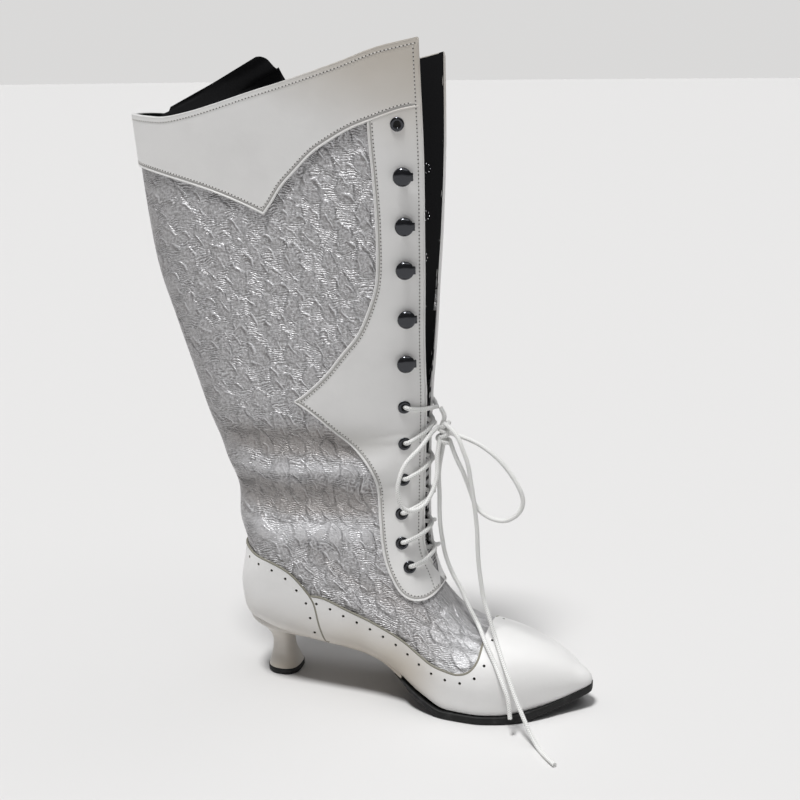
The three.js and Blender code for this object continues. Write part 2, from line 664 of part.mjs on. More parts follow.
// Where the last's side is at a place seen from the side. Returns the section, the
// angle and the point; side is -1 for the outer side and 1 for the inner.
function sideAt(x, z, side, distance) {
  const off = (t) => {
    const bx = column.backX(t);
    const bz = column.backZ(t);
    const dx = column.frontX(t) - bx;
    const dz = column.frontZ(t) - bz;
    return (x - bx) * dz - (z - bz) * dx;
  };
  let low = 9;
  let high = LAST_ROW;
  for (let i = 0; i < 40; i += 1) {
    const middle = (low + high) / 2;
    if (off(middle) < 0) low = middle;
    else high = middle;
  }
  const t = (low + high) / 2;
  const bx = column.backX(t);
  const dx = column.frontX(t) - bx;
  const dz = column.frontZ(t) - column.backZ(t);
  const share = ((x - bx) * dx + (z - column.backZ(t)) * dz) / (dx * dx + dz * dz);
  let near = 0;
  let far = Math.PI;
  for (let i = 0; i < 40; i += 1) {
    const middle = (near + far) / 2;
    const p = skin(t, middle);
    const here = ((p.x - bx) * dx + (p.z - column.backZ(t)) * dz) / (dx * dx + dz * dz);
    if (here > share) near = middle;
    else far = middle;
  }
  const angle = (near + far) / 2;
  const phi = side < 0 ? angle : -angle;
  const normal = skinNormal(t, phi);
  return { t, phi, normal, point: skin(t, phi).addScaledVector(normal, distance) };
}

// Turned piece about an axis through a point, from (radius, height) pairs.
function turned(profile, sides, base, axis) {
  const spin = new THREE.Quaternion().setFromUnitVectors(new THREE.Vector3(0, 0, 1), axis);
  const rings = [];
  for (const [radius, height] of profile) {
    const ring = [];
    for (let i = 0; i < sides; i += 1) {
      const a = (i / sides) * 2 * Math.PI;
      const p = new THREE.Vector3(radius * Math.cos(a), radius * Math.sin(a), height);
      ring.push(p.applyQuaternion(spin).add(base));
    }
    rings.push(ring);
  }
  return rings;
}

// Ring of turned sections joined end to end.
function turnedRing(profile, sides, base, axis) {
  const rings = turned(profile, sides, base, axis);
  const points = rings.flat();
  const faces = [];
  for (let r = 0; r < rings.length; r += 1) {
    const next = (r + 1) % rings.length;
    for (let i = 0; i < sides; i += 1) {
      const j = (i + 1) % sides;
      faces.push([r * sides + i, r * sides + j, next * sides + j]);
      faces.push([r * sides + i, next * sides + j, next * sides + i]);
    }
  }
  const solid = toSolid(points, faces);
  if (solid.volume() >= 0) return solid;
  return toSolid(points, faces.map((f) => [f[0], f[2], f[1]]));
}

function eyelet(base, axis) {
  const outer = EYELET_WIDTH / 2;
  const inner = EYELET_WIDTH / 4;
  return turnedRing([[outer, 0], [outer, 0.5], [inner, 1.1], [inner, 0]], 10, base, axis);
}

function hook(base, axis) {
  const r = HOOK_WIDTH / 2;
  const h = HOOK_HEIGHT;
  const profile = [
    [r * 0.6, 0],
    [r * 0.34, h * 0.2],
    [r * 0.34, h * 0.5],
    [r, h * 0.66],
    [r * 0.82, h * 0.9],
    [r * 0.3, h],
  ];
  return loft(turned(profile, 8, base, axis));
}

// Round cord along points.
function cordGeometry(points, steps, width, sides = 8) {
  const shape = new THREE.Shape();
  for (let i = 0; i < sides; i += 1) {
    const a = (i / sides) * 2 * Math.PI;
    const x = (width / 2) * Math.cos(a);
    const y = (width / 2) * Math.sin(a);
    if (i === 0) shape.moveTo(x, y);
    else shape.lineTo(x, y);
  }
  shape.closePath();
  const path = new THREE.CatmullRomCurve3(points, false, 'centripetal');
  return new THREE.ExtrudeGeometry(shape, { steps, bevelEnabled: false, extrudePath: path });
}

function geometrySolid(geometry) {
  const position = geometry.attributes.position;
  const index = geometry.index;
  const places = new Map();
  const points = [];
  const number = [];
  for (let i = 0; i < position.count; i += 1) {
    const p = new THREE.Vector3().fromBufferAttribute(position, i);
    const key = `${p.x.toFixed(3)},${p.y.toFixed(3)},${p.z.toFixed(3)}`;
    if (!places.has(key)) {
      places.set(key, points.length);
      points.push(p);
    }
    number.push(places.get(key));
  }
  const faces = [];
  const total = index ? index.count : position.count;
  for (let i = 0; i < total; i += 3) {
    const face = [0, 1, 2].map((k) => number[index ? index.getX(i + k) : i + k]);
    if (new Set(face).size === 3) faces.push(face);
  }
  const solid = toSolid(points, faces);
  if (solid.volume() >= 0) return solid;
  return toSolid(points, faces.map((f) => [f[0], f[2], f[1]]));
}

function largest(solid) {
  const parts = solid.decompose();
  parts.sort((a, b) => b.volume() - a.volume());
  return parts[0];
}

// Materials

const LEATHER = new THREE.MeshStandardMaterial({ color: 0xeeedeb, roughness: 0.45 });
const BROCADE = new THREE.MeshStandardMaterial({ color: 0xd6d7da, roughness: 0.5 });
const RUBBER = new THREE.MeshStandardMaterial({ color: 0x141414, roughness: 0.7 });
const METAL = new THREE.MeshStandardMaterial({ color: 0x1c1d20, roughness: 0.3, metalness: 0.9 });
const BOARD = new THREE.MeshStandardMaterial({ color: 0x1d1b1a, roughness: 0.9 });
const CORD = new THREE.MeshStandardMaterial({ color: 0xf2f2f0, roughness: 0.8 });

const boot = new THREE.Group();
boot.name = 'boot';

function addSolid(name, solid, material) {
  const mesh = solid.simplify(0.12).getMesh();
  const geometry = new THREE.BufferGeometry();
  geometry.setAttribute('position', new THREE.BufferAttribute(new Float32Array(mesh.vertProperties), 3));
  geometry.setIndex(new THREE.BufferAttribute(new Uint32Array(mesh.triVerts), 1));
  geometry.computeVertexNormals();
  const piece = new THREE.Mesh(geometry, material);
  piece.name = name;
  boot.add(piece);
}

function addGeometry(name, geometry, material) {
  const piece = new THREE.Mesh(geometry, material);
  piece.name = name;
  boot.add(piece);
}

// Upper

const outerForm = form(0);
const innerForm = form(-WALL);
const roomForm = form(-WALL - FIT);
const collarCut = aboveCollar(0);
const openingCut = aheadOfOpening(0);

const underOpening = plate(
  solePlan(-7).filter((row) => row.into - row.out > 4),
  (x) => lastBottom(x) + WALL + 2,
  (x) => lastBottom(x) - 20,
);
const upper = largest(
  outerForm.subtract(innerForm).subtract(collarCut).subtract(openingCut).subtract(underOpening),
);
addSolid('upper', upper, BROCADE);

// Overlays

const overlayOuter = form(FIT + OVERLAY);
const overlayInner = form(FIT);
const overlay = overlayOuter.subtract(overlayInner);
const bottomCut = belowBottom(FEATHER);

const cuffRear = trace(CUFF_REAR, 10);
const cuffFore = trace(CUFF_FORE, 14);
const cuffEdge = [...cuffRear, ...cuffFore.slice(1)];
const cuffRegion = sideSlab([
  ...cuffEdge,
  [cuffEdge[cuffEdge.length - 1][0] + 60, cuffEdge[cuffEdge.length - 1][1]],
  [1.2 * FOOT_LENGTH, 1.3 * BOOT_HEIGHT],
  [-FOOT_LENGTH, 1.3 * BOOT_HEIGHT],
  [-FOOT_LENGTH, cuffEdge[0][1]],
]);
const cuff = largest(overlay.intersect(cuffRegion).subtract(collarCut).subtract(openingCut));
addSolid('cuff', cuff, LEATHER);

const facingBack = [...trace(FACING_UPPER, 16), ...trace(FACING_LOWER, 22).slice(1)];
const facingEnd = facingBack[facingBack.length - 1];
const facingRegion = sideSlab([
  ...facingBack,
  [1.2 * FOOT_LENGTH, facingEnd[1]],
  [1.2 * FOOT_LENGTH, facingBack[0][1]],
]);
const cuffLow = sideSlab([
  ...moved(cuffEdge, 0, -FIT),
  [cuffEdge[cuffEdge.length - 1][0] + 60, cuffEdge[cuffEdge.length - 1][1] - FIT],
  [1.2 * FOOT_LENGTH, 1.3 * BOOT_HEIGHT],
  [-FOOT_LENGTH, 1.3 * BOOT_HEIGHT],
  [-FOOT_LENGTH, cuffEdge[0][1] - FIT],
]);
const facing = largest(overlay.intersect(facingRegion).subtract(cuffLow).subtract(openingCut));
addSolid('lace_facing', facing, LEATHER);

const counterTop = trace(COUNTER_TOP, 9);
const heelSeam = trace(HEEL_SEAM, 6);
const counterRegion = sideSlab([
  [-FOOT_LENGTH, counterTop[0][1]],
  ...counterTop,
  ...heelSeam.slice(1),
  [heelSeam[heelSeam.length - 1][0], -20],
  [-FOOT_LENGTH, -20],
]);
const counter = largest(overlay.intersect(counterRegion).subtract(bottomCut));
addSolid('counter', counter, LEATHER);

const wingTop = trace(WING_TOP, 20);
const wingTip = wingTop[wingTop.length - 1];
const wingRegion = sideSlab([
  ...wingTop,
  [wingTip[0], wingTip[1] + 40],
  [1.2 * FOOT_LENGTH, wingTip[1] + 40],
  [1.2 * FOOT_LENGTH, -20],
  [heelSeam[heelSeam.length - 1][0] + FIT, -20],
  ...moved(heelSeam.slice(1), FIT, 0).reverse(),
]);
const wing = largest(overlay.intersect(wingRegion).subtract(bottomCut));
addSolid('vamp_wing', wing, LEATHER);

// Sole, insole and heel

const outsole = plate(solePlan(0), soleTop, soleUnder);
addSolid('outsole', outsole, RUBBER);

const insole = largest(
  plate(
    solePlan(-0.5).filter((row) => row.into - row.out > 4),
    (x) => lastBottom(x) + WALL + FIT + INSOLE,
    (x) => lastBottom(x) + WALL + FIT + 0.1,
  ).intersect(roomForm),
);
addSolid('insole', insole, BOARD);

function heelRing(rear, fore, half, heightOf) {
  const ring = [];
  const count = 20;
  const cx = (rear + fore) / 2;
  const a = (fore - rear) / 2;
  for (let i = 0; i < count; i += 1) {
    const angle = (i / count) * 2 * Math.PI;
    const c = Math.cos(angle);
    const s = Math.sin(angle);
    const power = c > 0 ? 3 : 2.1;
    const reach = (Math.abs(c) ** power + Math.abs(s) ** power) ** (-1 / power);
    const x = cx + a * c * reach;
    ring.push(new THREE.Vector3(x, half * s * reach, heightOf(x)));
  }
  return ring;
}

const heelRings = HEEL_ROWS.map((row) => {
  const floor = TOP_PIECE + FIT;
  const seat = (x) => soleUnder(x) + SHANK_SOLE / 2;
  return heelRing(
    row.rear * FOOT_LENGTH,
    row.fore * FOOT_LENGTH,
    row.half * HEEL_WIDTH,
    (x) => floor + (seat(x) - floor) * (1 - row.drop),
  );
});
const aboveSeat = plate(solePlan(2), (x) => soleUnder(x) + 30, (x) => soleUnder(x) - FIT);
addSolid('heel', largest(loft(heelRings).subtract(aboveSeat)), LEATHER);

const lowest = HEEL_ROWS[HEEL_ROWS.length - 1];
const topPieceRings = [
  [0, 0.93],
  [0.25, 1.02],
  [1, 1.03],
].map(([share, size]) => heelRing(
  lowest.rear * FOOT_LENGTH * size,
  lowest.fore * FOOT_LENGTH * size,
  lowest.half * HEEL_WIDTH * size,
  () => TOP_PIECE * share,
));
addSolid('top_piece', loft(topPieceRings), RUBBER);

// Tongue

const tongueCurve = new THREE.CatmullRomCurve3(
  TONGUE_ROWS.map((row) => new THREE.Vector3(
    row.at * FOOT_LENGTH,
    row.side * BALL_WIDTH,
    row.up * BOOT_HEIGHT,
  )),
);
const tongueNumbers = TONGUE_ROWS.map((row, i) => i);
const tongueHalf = curveThrough(tongueNumbers, TONGUE_ROWS.map((row) => row.half * BALL_WIDTH));
const tongueTurn = curveThrough(tongueNumbers, TONGUE_ROWS.map((row) => (row.turn * Math.PI) / 180));
const tongueRings = [];
const TONGUE_STEPS = 20;
for (let i = 0; i <= TONGUE_STEPS; i += 1) {
  const u = i / TONGUE_STEPS;
  const place = u * (TONGUE_ROWS.length - 1);
  const centre = tongueCurve.getPoint(u);
  const run = tongueCurve.getTangent(u);
  const turn = tongueTurn(place);
  const across = new THREE.Vector3(Math.sin(turn), Math.cos(turn), 0);
  across.addScaledVector(run, -across.dot(run)).normalize();
  const face = new THREE.Vector3().crossVectors(run, across).normalize();
  const half = tongueHalf(place);
  const ring = [];
  for (const [side, deep] of [[-1, -1], [-0.5, -1], [0, -1], [0.5, -1], [1, -1], [1, 1], [0.5, 1], [0, 1], [-0.5, 1], [-1, 1]]) {
    const bow = 0.1 * half * (1 - side * side);
    ring.push(
      centre.clone()
        .addScaledVector(across, side * half)
        .addScaledVector(face, (deep * TONGUE) / 2 + bow),
    );
  }
  tongueRings.push(ring);
}
const wallZone = form(FIT).subtract(form(-WALL - FIT));
const tongue = largest(loft(tongueRings).subtract(wallZone).subtract(insole.translate([0, 0, FIT])));
addSolid('tongue', tongue, LEATHER);

// Eyelets and hooks

const seat = FIT + OVERLAY + FIT;
LACING.forEach((row, i) => {
  for (const side of [-1, 1]) {
    const place = sideAt(row.at * FOOT_LENGTH, row.up * BOOT_HEIGHT, side, seat);
    const name = `${row.hook ? 'hook' : 'eyelet'}_${side < 0 ? 'outer' : 'inner'}_${i + 1}`;
    if (row.hook) {
      addSolid(name, hook(place.point, place.normal), METAL);
    } else {
      addSolid(name, eyelet(place.point, place.normal), METAL);
    }
  }
});

// Lace crossings between the lower eyelets

function laceRun(from, to, side) {
  const height = seat + 1.1 + FIT + LACE / 2 + 0.1;
  const edge = curveThrough(
    OPENING_EDGE.map((row) => row.up * BOOT_HEIGHT),
    OPENING_EDGE.map((row) => row.at * FOOT_LENGTH),
  );
  const low = from.up * BOOT_HEIGHT;
  const high = to.up * BOOT_HEIGHT;
  const points = [];
  for (const share of [0, 0.2, 0.36, 0.5, 0.64, 0.8, 1]) {
    const z = low + (high - low) * share;
    const away = Math.abs(share - 0.5) * 2;
    const end = (share < 0.5 ? from : to).at * FOOT_LENGTH;
    const x = edge(z) + (end - edge(z)) * ((away - 0.2) / 0.8);
    if (away < 0.1) points.push(new THREE.Vector3(edge(z) + 3.2, 0, z));
    else points.push(sideAt(Math.min(x, edge(z)), z, share < 0.5 ? side : -side, height).point);
  }
  return geometrySolid(cordGeometry(points, 8, LACE, 6));
}

// Strand from the highest of these eyelets forward to the knot.
function laceToKnot(from, side) {
  const height = seat + 1.1 + FIT + LACE / 2 + 0.1;
  const z = from.up * BOOT_HEIGHT;
  const knot = LACE_KNOT[0];
  const x = from.at * FOOT_LENGTH;
  const tip = new THREE.Vector3(knot.at * FOOT_LENGTH - 3.6, 0, knot.up * BOOT_HEIGHT);
  const points = [
    sideAt(x, z, side, height).point,
    sideAt(x + 0.5 * (tip.x - x) - 1, (z + tip.z) / 2, side, height).point,
    tip,
  ];
  return geometrySolid(cordGeometry(points, 5, LACE, 6));
}

const laced = LACING.filter((row, i) => i >= 6);
let crossings = null;
for (let i = 0; i < laced.length - 1; i += 1) {
  for (const side of [-1, 1]) {
    const run = laceRun(laced[i + 1], laced[i], side);
    crossings = crossings ? crossings.add(run) : run;
  }
}
for (const side of [-1, 1]) crossings = crossings.add(laceToKnot(laced[0], side));
addSolid('lace_crossings', largest(crossings), CORD);

// Knot, bow loops and ends of the lace

function looseLace(name, rows, steps) {
  const points = rows.map((row) => new THREE.Vector3(
    row.at * FOOT_LENGTH,
    row.side * BALL_WIDTH,
    row.up * BOOT_HEIGHT,
  ));
  addGeometry(name, cordGeometry(points, steps, LACE), CORD);
}

looseLace('lace_knot', LACE_KNOT, 6);
looseLace('bow_loop_outer', BOW_LOOP_OUTER, 14);
looseLace('bow_loop_fore', BOW_LOOP_FORE, 17);
looseLace('lace_end_one', LACE_END_ONE, 19);
looseLace('lace_end_two', LACE_END_TWO, 24);

export default boot;
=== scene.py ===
"""Mid-calf boot with an hourglass heel, a brocade shaft and a laced front.

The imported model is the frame: every piece made here is laid over its solid, in metres,
with x towards the toe, y towards the inner side and z up.
"""

import math

import bpy
import numpy as np
from mathutils import Matrix, Vector


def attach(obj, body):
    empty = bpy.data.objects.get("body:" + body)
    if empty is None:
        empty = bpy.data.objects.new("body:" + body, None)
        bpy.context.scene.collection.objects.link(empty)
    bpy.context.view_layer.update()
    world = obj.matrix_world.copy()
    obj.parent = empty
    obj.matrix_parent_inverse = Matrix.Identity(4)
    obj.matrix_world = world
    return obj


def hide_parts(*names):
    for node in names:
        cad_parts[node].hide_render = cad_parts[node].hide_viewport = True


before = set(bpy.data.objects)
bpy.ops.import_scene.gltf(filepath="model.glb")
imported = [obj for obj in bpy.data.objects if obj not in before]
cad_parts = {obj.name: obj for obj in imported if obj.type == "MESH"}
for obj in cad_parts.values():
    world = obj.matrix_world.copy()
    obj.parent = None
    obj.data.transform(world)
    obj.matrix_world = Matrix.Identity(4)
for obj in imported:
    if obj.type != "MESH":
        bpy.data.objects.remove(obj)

bl_info = {
    "name": "Mid-calf boot",
    "version": (1, 0, 0),
    "blender": (4, 5, 0),
    "location": "View3D > Sidebar > Boot",
    "description": "Makes a laced mid-calf boot over its solid model",
    "category": "Object",
}

MM = 0.001

# Sizes of the boot, as in the solid model

FOOT_LENGTH = 251 * MM
BALL_WIDTH = 88 * MM
BOOT_HEIGHT = 444 * MM
CALF_DEPTH = 207 * MM
CALF_WIDTH = 78 * MM
HEEL_HEIGHT = 30 * MM
HEEL_WIDTH = 48 * MM
TOE_SPRING = 11 * MM
SOLE_EDGE = 5.6 * MM
SHANK_SOLE = 2.4 * MM
TOP_PIECE = 4.6 * MM
WALL = 2 * MM
OVERLAY = 1.3 * MM
INSOLE = 2.4 * MM
TONGUE = 3 * MM
LACE = 3 * MM
EYELET_WIDTH = 8.6 * MM
HOOK_WIDTH = 12 * MM
HOOK_HEIGHT = 6 * MM
FIT = 0.3 * MM
FAR_CORNER_DROP = 8 * MM
LACE_LINE = 0.4382 * FOOT_LENGTH
OUTER = -1
INNER = 1

# columns: at, crestAt, crest, out, into, mid, wide, under, over
FOOT_ROWS = [
    (0.8821, 0.8821, 0.0441, 0.0341, 0.0727, 0.0534, 0.5, 2.4, 2.2),
    (0.8781, 0.8777, 0.0491, 0.0114, 0.0977, 0.0534, 0.42, 3, 2.2),
    (0.8677, 0.8665, 0.055, -0.025, 0.1295, 0.0511, 0.38, 3.6, 2.2),
    (0.851, 0.8486, 0.0617, -0.0636, 0.1659, 0.0489, 0.36, 6, 2.2),
    (0.8207, 0.8143, 0.0752, -0.1364, 0.2364, 0.0455, 0.34, 9, 2.3),
    (0.7729, 0.761, 0.091, -0.2455, 0.325, 0.0364, 0.33, 12, 2.4),
    (0.7171, 0.7012, 0.1041, -0.3591, 0.3955, 0.0205, 0.32, 12, 2.4),
    (0.6574, 0.6394, 0.1126, -0.452, 0.4409, 0.0068, 0.32, 12, 2.4),
    (0.5976, 0.5829, 0.1194, -0.489, 0.45, 0, 0.33, 12, 2.3),
    (0.5259, 0.539, 0.1351, -0.481, 0.4182, -0.0068, 0.33, 10, 2.1),
    (0.4462, 0.4992, 0.1599, -0.44, 0.3636, -0.0068, 0.32, 6, 2),
    (0.3586, 0.4653, 0.1874, -0.3864, 0.3295, -0.0045, 0.33, 4.6, 2),
    (0.2629, 0.4454, 0.2207, -0.358, 0.3159, -0.0023, 0.36, 4.4, 2),
    (0.1594, 0.4359, 0.2523, -0.3432, 0.3182, 0, 0.38, 5, 2),
    (0.0598, 0.4327, 0.2793, -0.3386, 0.325, 0, 0.36, 4.4, 2),
    (-0.0319, 0.4319, 0.3063, -0.3409, 0.3341, 0, 0.33, 3.6, 2),
    (-0.0857, 0.4319, 0.3333, -0.3409, 0.3386, 0, 0.3, 2.8, 2),
]

# columns: back, backZ, front, frontZ, half, wide, under, over
SHAFT_ROWS = [
    (-0.654, 0.1155, -0.0077, 0.3604, 0.3846, 0.3, 2.6, 2),
    (-0.67, 0.1599, -0.0072, 0.3874, 0.3846, 0.32, 2.4, 2),
    (-0.6522, 0.2162, -0.0063, 0.4144, 0.3795, 0.36, 2.3, 2),
    (-0.6667, 0.2477, -0.0048, 0.4414, 0.3769, 0.4, 2.2, 2),
    (-0.6812, 0.286, -0.0019, 0.4662, 0.3769, 0.43, 2.2, 2),
    (-0.7029, 0.3423, 0.0039, 0.4977, 0.3846, 0.45, 2.2, 2),
    (-0.7633, 0.4167, 0.0217, 0.545, 0.4, 0.46, 2.3, 2.1),
    (-0.8213, 0.5, 0.0411, 0.5968, 0.4154, 0.46, 2.3, 2.2),
    (-0.8792, 0.5856, 0.0556, 0.6599, 0.4359, 0.45, 2.4, 2.3),
    (-0.9372, 0.6757, 0.087, 0.7387, 0.4615, 0.44, 2.4, 2.4),
    (-0.9676, 0.777, 0.1353, 0.8581, 0.4821, 0.43, 2.4, 2.4),
    (-0.9928, 0.8964, 0.1981, 1.0203, 0.5, 0.42, 2.4, 2.4),
    (-1.0048, 0.9459, 0.2271, 1.0766, 0.5051, 0.42, 2.4, 2.4),
]

# columns: at, heel, toe, edge
GROUND_ROWS = [
    (-0.15, 1.7, 0, 0), (-0.104, 1.53, 0, 0), (-0.04, 1.34, 0, 0), (0.048, 1.18, 0, 0),
    (0.112, 1.135, 0, 0), (0.168, 1.08, 0, 0), (0.22, 1.025, 0, 0), (0.26, 0.995, 0, 0),
    (0.3, 0.925, 0, 0.05), (0.335, 0.82, 0, 0.1), (0.375, 0.64, 0, 0.2), (0.408, 0.455, 0, 0.38),
    (0.44, 0.275, 0, 0.62), (0.48, 0.085, 0, 0.88), (0.512, 0, 0, 1), (0.665, 0, 0, 1),
    (0.713, 0, 0.08, 1), (0.75, 0, 0.2, 1), (0.785, 0, 0.36, 1), (0.82, 0, 0.56, 1), (0.857, 0, 0.82, 1),
    (0.892, 0, 1.09, 1),
]

# columns: at, out, into
SOLE_ROWS = [
    (0.889, 0.022, 0.091), (0.884, -0.01, 0.125), (0.87, -0.05, 0.165), (0.8506, -0.1, 0.205),
    (0.8187, -0.176, 0.273), (0.7729, -0.295, 0.358), (0.7171, -0.409, 0.426), (0.6574, -0.478, 0.472),
    (0.5976, -0.512, 0.478), (0.5259, -0.502, 0.445), (0.4462, -0.45, 0.378), (0.3745, -0.375, 0.318),
    (0.2988, -0.305, 0.273), (0.2, -0.265, 0.255), (0.1, -0.258, 0.255), (0.02, -0.262, 0.26),
    (-0.0319, -0.25, 0.25), (-0.068, -0.208, 0.208), (-0.089, -0.145, 0.145), (-0.101, -0.068, 0.068),
]

# columns: at, up
OPENING_EDGE = [
    (0.47, 0.182), (0.4512, 0.209), (0.437, 0.23), (0.426, 0.2545), (0.4243, 0.3536), (0.4295, 0.4775),
    (0.437, 0.605), (0.4446, 0.7421), (0.4468, 0.85), (0.4402, 1), (0.438, 1.12),
]

# columns: at, up
COLLAR_EDGE = [
    (-0.44, 0.8968), (-0.359, 0.8962), (-0.2992, 0.8944), (-0.2418, 0.8937), (-0.1657, 0.9007),
    (-0.0936, 0.9108), (0.0147, 0.9284), (0.104, 0.9423), (0.2506, 0.9682), (0.3355, 0.9858),
    (0.4359, 1.0002), (0.7, 1.04),
]

# columns: at, up
CUFF_REAR = [
    (-0.48, 0.828), (-0.3482, 0.8209), (-0.2127, 0.8063), (-0.1, 0.79), (-0.004, 0.7703),
    (0.0382, 0.7597),
]

# columns: at, up
CUFF_FORE = [
    (0.0382, 0.7597), (0.0586, 0.7748), (0.0888, 0.7995), (0.1275, 0.8221), (0.1765, 0.8484),
    (0.2239, 0.8657), (0.2757, 0.8815), (0.3335, 0.8939), (0.39, 0.905), (0.45, 0.912),
]

# columns: at, up
FACING_UPPER = [
    (0.3147, 0.93), (0.3187, 0.8649), (0.3247, 0.8198), (0.3307, 0.741), (0.3255, 0.6644),
    (0.3068, 0.6261), (0.2749, 0.5856), (0.2311, 0.5541), (0.1833, 0.5203), (0.1235, 0.4887),
    (0.0976, 0.4786),
]

# columns: at, up
FACING_LOWER = [
    (0.0976, 0.4786), (0.1275, 0.4685), (0.1594, 0.455), (0.1992, 0.4347), (0.2534, 0.4077),
    (0.2908, 0.3806), (0.3108, 0.3514), (0.3177, 0.2939), (0.324, 0.26), (0.335, 0.23), (0.354, 0.205),
    (0.38, 0.183), (0.41, 0.173), (0.444, 0.172), (0.47, 0.18), (0.51, 0.2),
]

# columns: at, up
COUNTER_TOP = [
    (-0.24, 0.229), (-0.0932, 0.2252), (-0.045, 0.2185), (0.0151, 0.2117), (0.0614, 0.1995),
    (0.0996, 0.1793), (0.1219, 0.1644),
]

# columns: at, up
HEEL_SEAM = [
    (0.1219, 0.1644), (0.1331, 0.1523), (0.1474, 0.1171), (0.166, 0.08), (0.176, 0.045),
]

# columns: at, up
WING_TOP = [
    (0.1219, 0.1644), (0.1574, 0.1633), (0.2271, 0.1486), (0.3068, 0.1329), (0.3904, 0.1126),
    (0.4446, 0.0946), (0.4821, 0.0833), (0.5203, 0.0779), (0.5554, 0.0752), (0.5849, 0.0804),
    (0.6028, 0.093), (0.606, 0.108), (0.603, 0.15),
]

# columns: at, up, hook
LACING = [
    (0.388, 0.8862, False), (0.3975, 0.815, True), (0.3981, 0.7454, True), (0.3955, 0.6829, True),
    (0.3949, 0.6102, True), (0.3887, 0.5433, True), (0.3817, 0.4737, False), (0.3808, 0.4155, False),
    (0.3764, 0.3588, False), (0.3722, 0.3044, False), (0.3746, 0.2583, False), (0.397, 0.2211, False),
]

# columns: rear, fore, drop, half
HEEL_ROWS = [
    (-0.091, 0.031, 0, 0.42), (-0.076, 0.0235, 0.11, 0.345), (-0.0575, 0.0205, 0.22, 0.275),
    (-0.0445, 0.019, 0.35, 0.225), (-0.039, 0.0185, 0.5, 0.205), (-0.0405, 0.0215, 0.66, 0.21),
    (-0.0475, 0.0325, 0.86, 0.245), (-0.0535, 0.0415, 1, 0.275),
]

# columns: at, side, up, half, turn
TONGUE_ROWS = [
    (0.456, 0, 0.164, 0.1, 0), (0.435, 0, 0.201, 0.16, 0), (0.408, 0, 0.25, 0.19, 2),
    (0.355, 0, 0.34, 0.23, 6), (0.27, 0, 0.49, 0.28, 14), (0.17, 0.01, 0.64, 0.34, 28),
    (0.045, 0.03, 0.775, 0.41, 48), (-0.075, 0.07, 0.865, 0.47, 66), (-0.148, 0.1, 0.913, 0.5, 74),
    (-0.167, 0.11, 0.934, 0.45, 76), (-0.175, 0.11, 0.942, 0.38, 77),
]

# columns: at, side, up
LACE_KNOT = [
    (0.4629, 0, 0.4662), (0.4749, -0.0057, 0.4516), (0.4669, -0.0057, 0.4358), (0.4765, 0, 0.4178),
]

# columns: at, side, up
BOW_LOOP_OUTER = [
    (0.4614, -0.0409, 0.4381), (0.4486, -0.1193, 0.4302), (0.4318, -0.2273, 0.4148),
    (0.4019, -0.3636, 0.3936), (0.3898, -0.4205, 0.3702), (0.3894, -0.4318, 0.3506),
    (0.4003, -0.4091, 0.3293), (0.4202, -0.3636, 0.3225), (0.444, -0.2727, 0.327),
    (0.461, -0.1932, 0.3464), (0.4677, -0.1477, 0.3676), (0.4647, -0.1023, 0.3963),
    (0.4669, -0.0386, 0.4241),
]

# columns: at, side, up
BOW_LOOP_FORE = [
    (0.4777, -0.0102, 0.4286), (0.537, -0.0682, 0.4244), (0.5798, -0.0909, 0.4167),
    (0.6278, -0.1136, 0.4001), (0.6639, -0.125, 0.3792), (0.6894, -0.1364, 0.3579),
    (0.7006, -0.1364, 0.3396), (0.6957, -0.1364, 0.3236), (0.6747, -0.1364, 0.3098),
    (0.647, -0.125, 0.3026), (0.6107, -0.1136, 0.3046), (0.5823, -0.1023, 0.3133),
    (0.5674, -0.0909, 0.3229), (0.5525, -0.0795, 0.3437), (0.532, -0.0682, 0.3706),
    (0.5105, -0.0455, 0.3919), (0.4896, -0.0136, 0.4167),
]

# columns: at, side, up
LACE_END_ONE = [
    (0.4717, 0.0023, 0.4097), (0.4594, 0, 0.3655), (0.4618, -0.0114, 0.3259), (0.4629, -0.0227, 0.3023),
    (0.466, -0.0341, 0.2804), (0.4727, -0.0455, 0.2586), (0.4826, -0.0455, 0.2311),
    (0.5011, -0.0455, 0.204), (0.5281, -0.0568, 0.1781), (0.5556, -0.0909, 0.151),
    (0.5813, -0.1252, 0.1295), (0.6196, -0.3135, 0.1161), (0.6526, -0.4104, 0.0942),
    (0.6836, -0.5284, 0.075), (0.7009, -0.5739, 0.0565), (0.7091, -0.6023, 0.029),
]

# columns: at, side, up
LACE_END_TWO = [
    (0.4777, -0.0409, 0.4428), (0.5, -0.0966, 0.4392), (0.524, -0.1364, 0.4277),
    (0.5392, -0.1534, 0.4107), (0.5535, -0.1591, 0.3884), (0.5605, -0.1591, 0.3652),
    (0.5676, -0.1591, 0.3419), (0.5733, -0.1591, 0.3184), (0.5792, -0.1591, 0.2868),
    (0.5825, -0.1591, 0.2466), (0.5885, -0.1591, 0.2144), (0.6011, -0.1705, 0.1752),
    (0.6195, -0.2045, 0.1497), (0.6401, -0.2496, 0.1211), (0.6698, -0.3775, 0.0984),
    (0.6956, -0.4773, 0.079), (0.7209, -0.5568, 0.0565), (0.7446, -0.6193, 0.0373),
    (0.7673, -0.6705, 0.0187), (0.7933, -0.7356, 0.0038), (0.821, -0.8415, 0.0038),
    (0.8485, -0.9306, 0.0038),
]

# Share of the width that the cloth's pattern moves on, so that it isn't drawn out at the crest.
CLOTH_TURN = 0.56

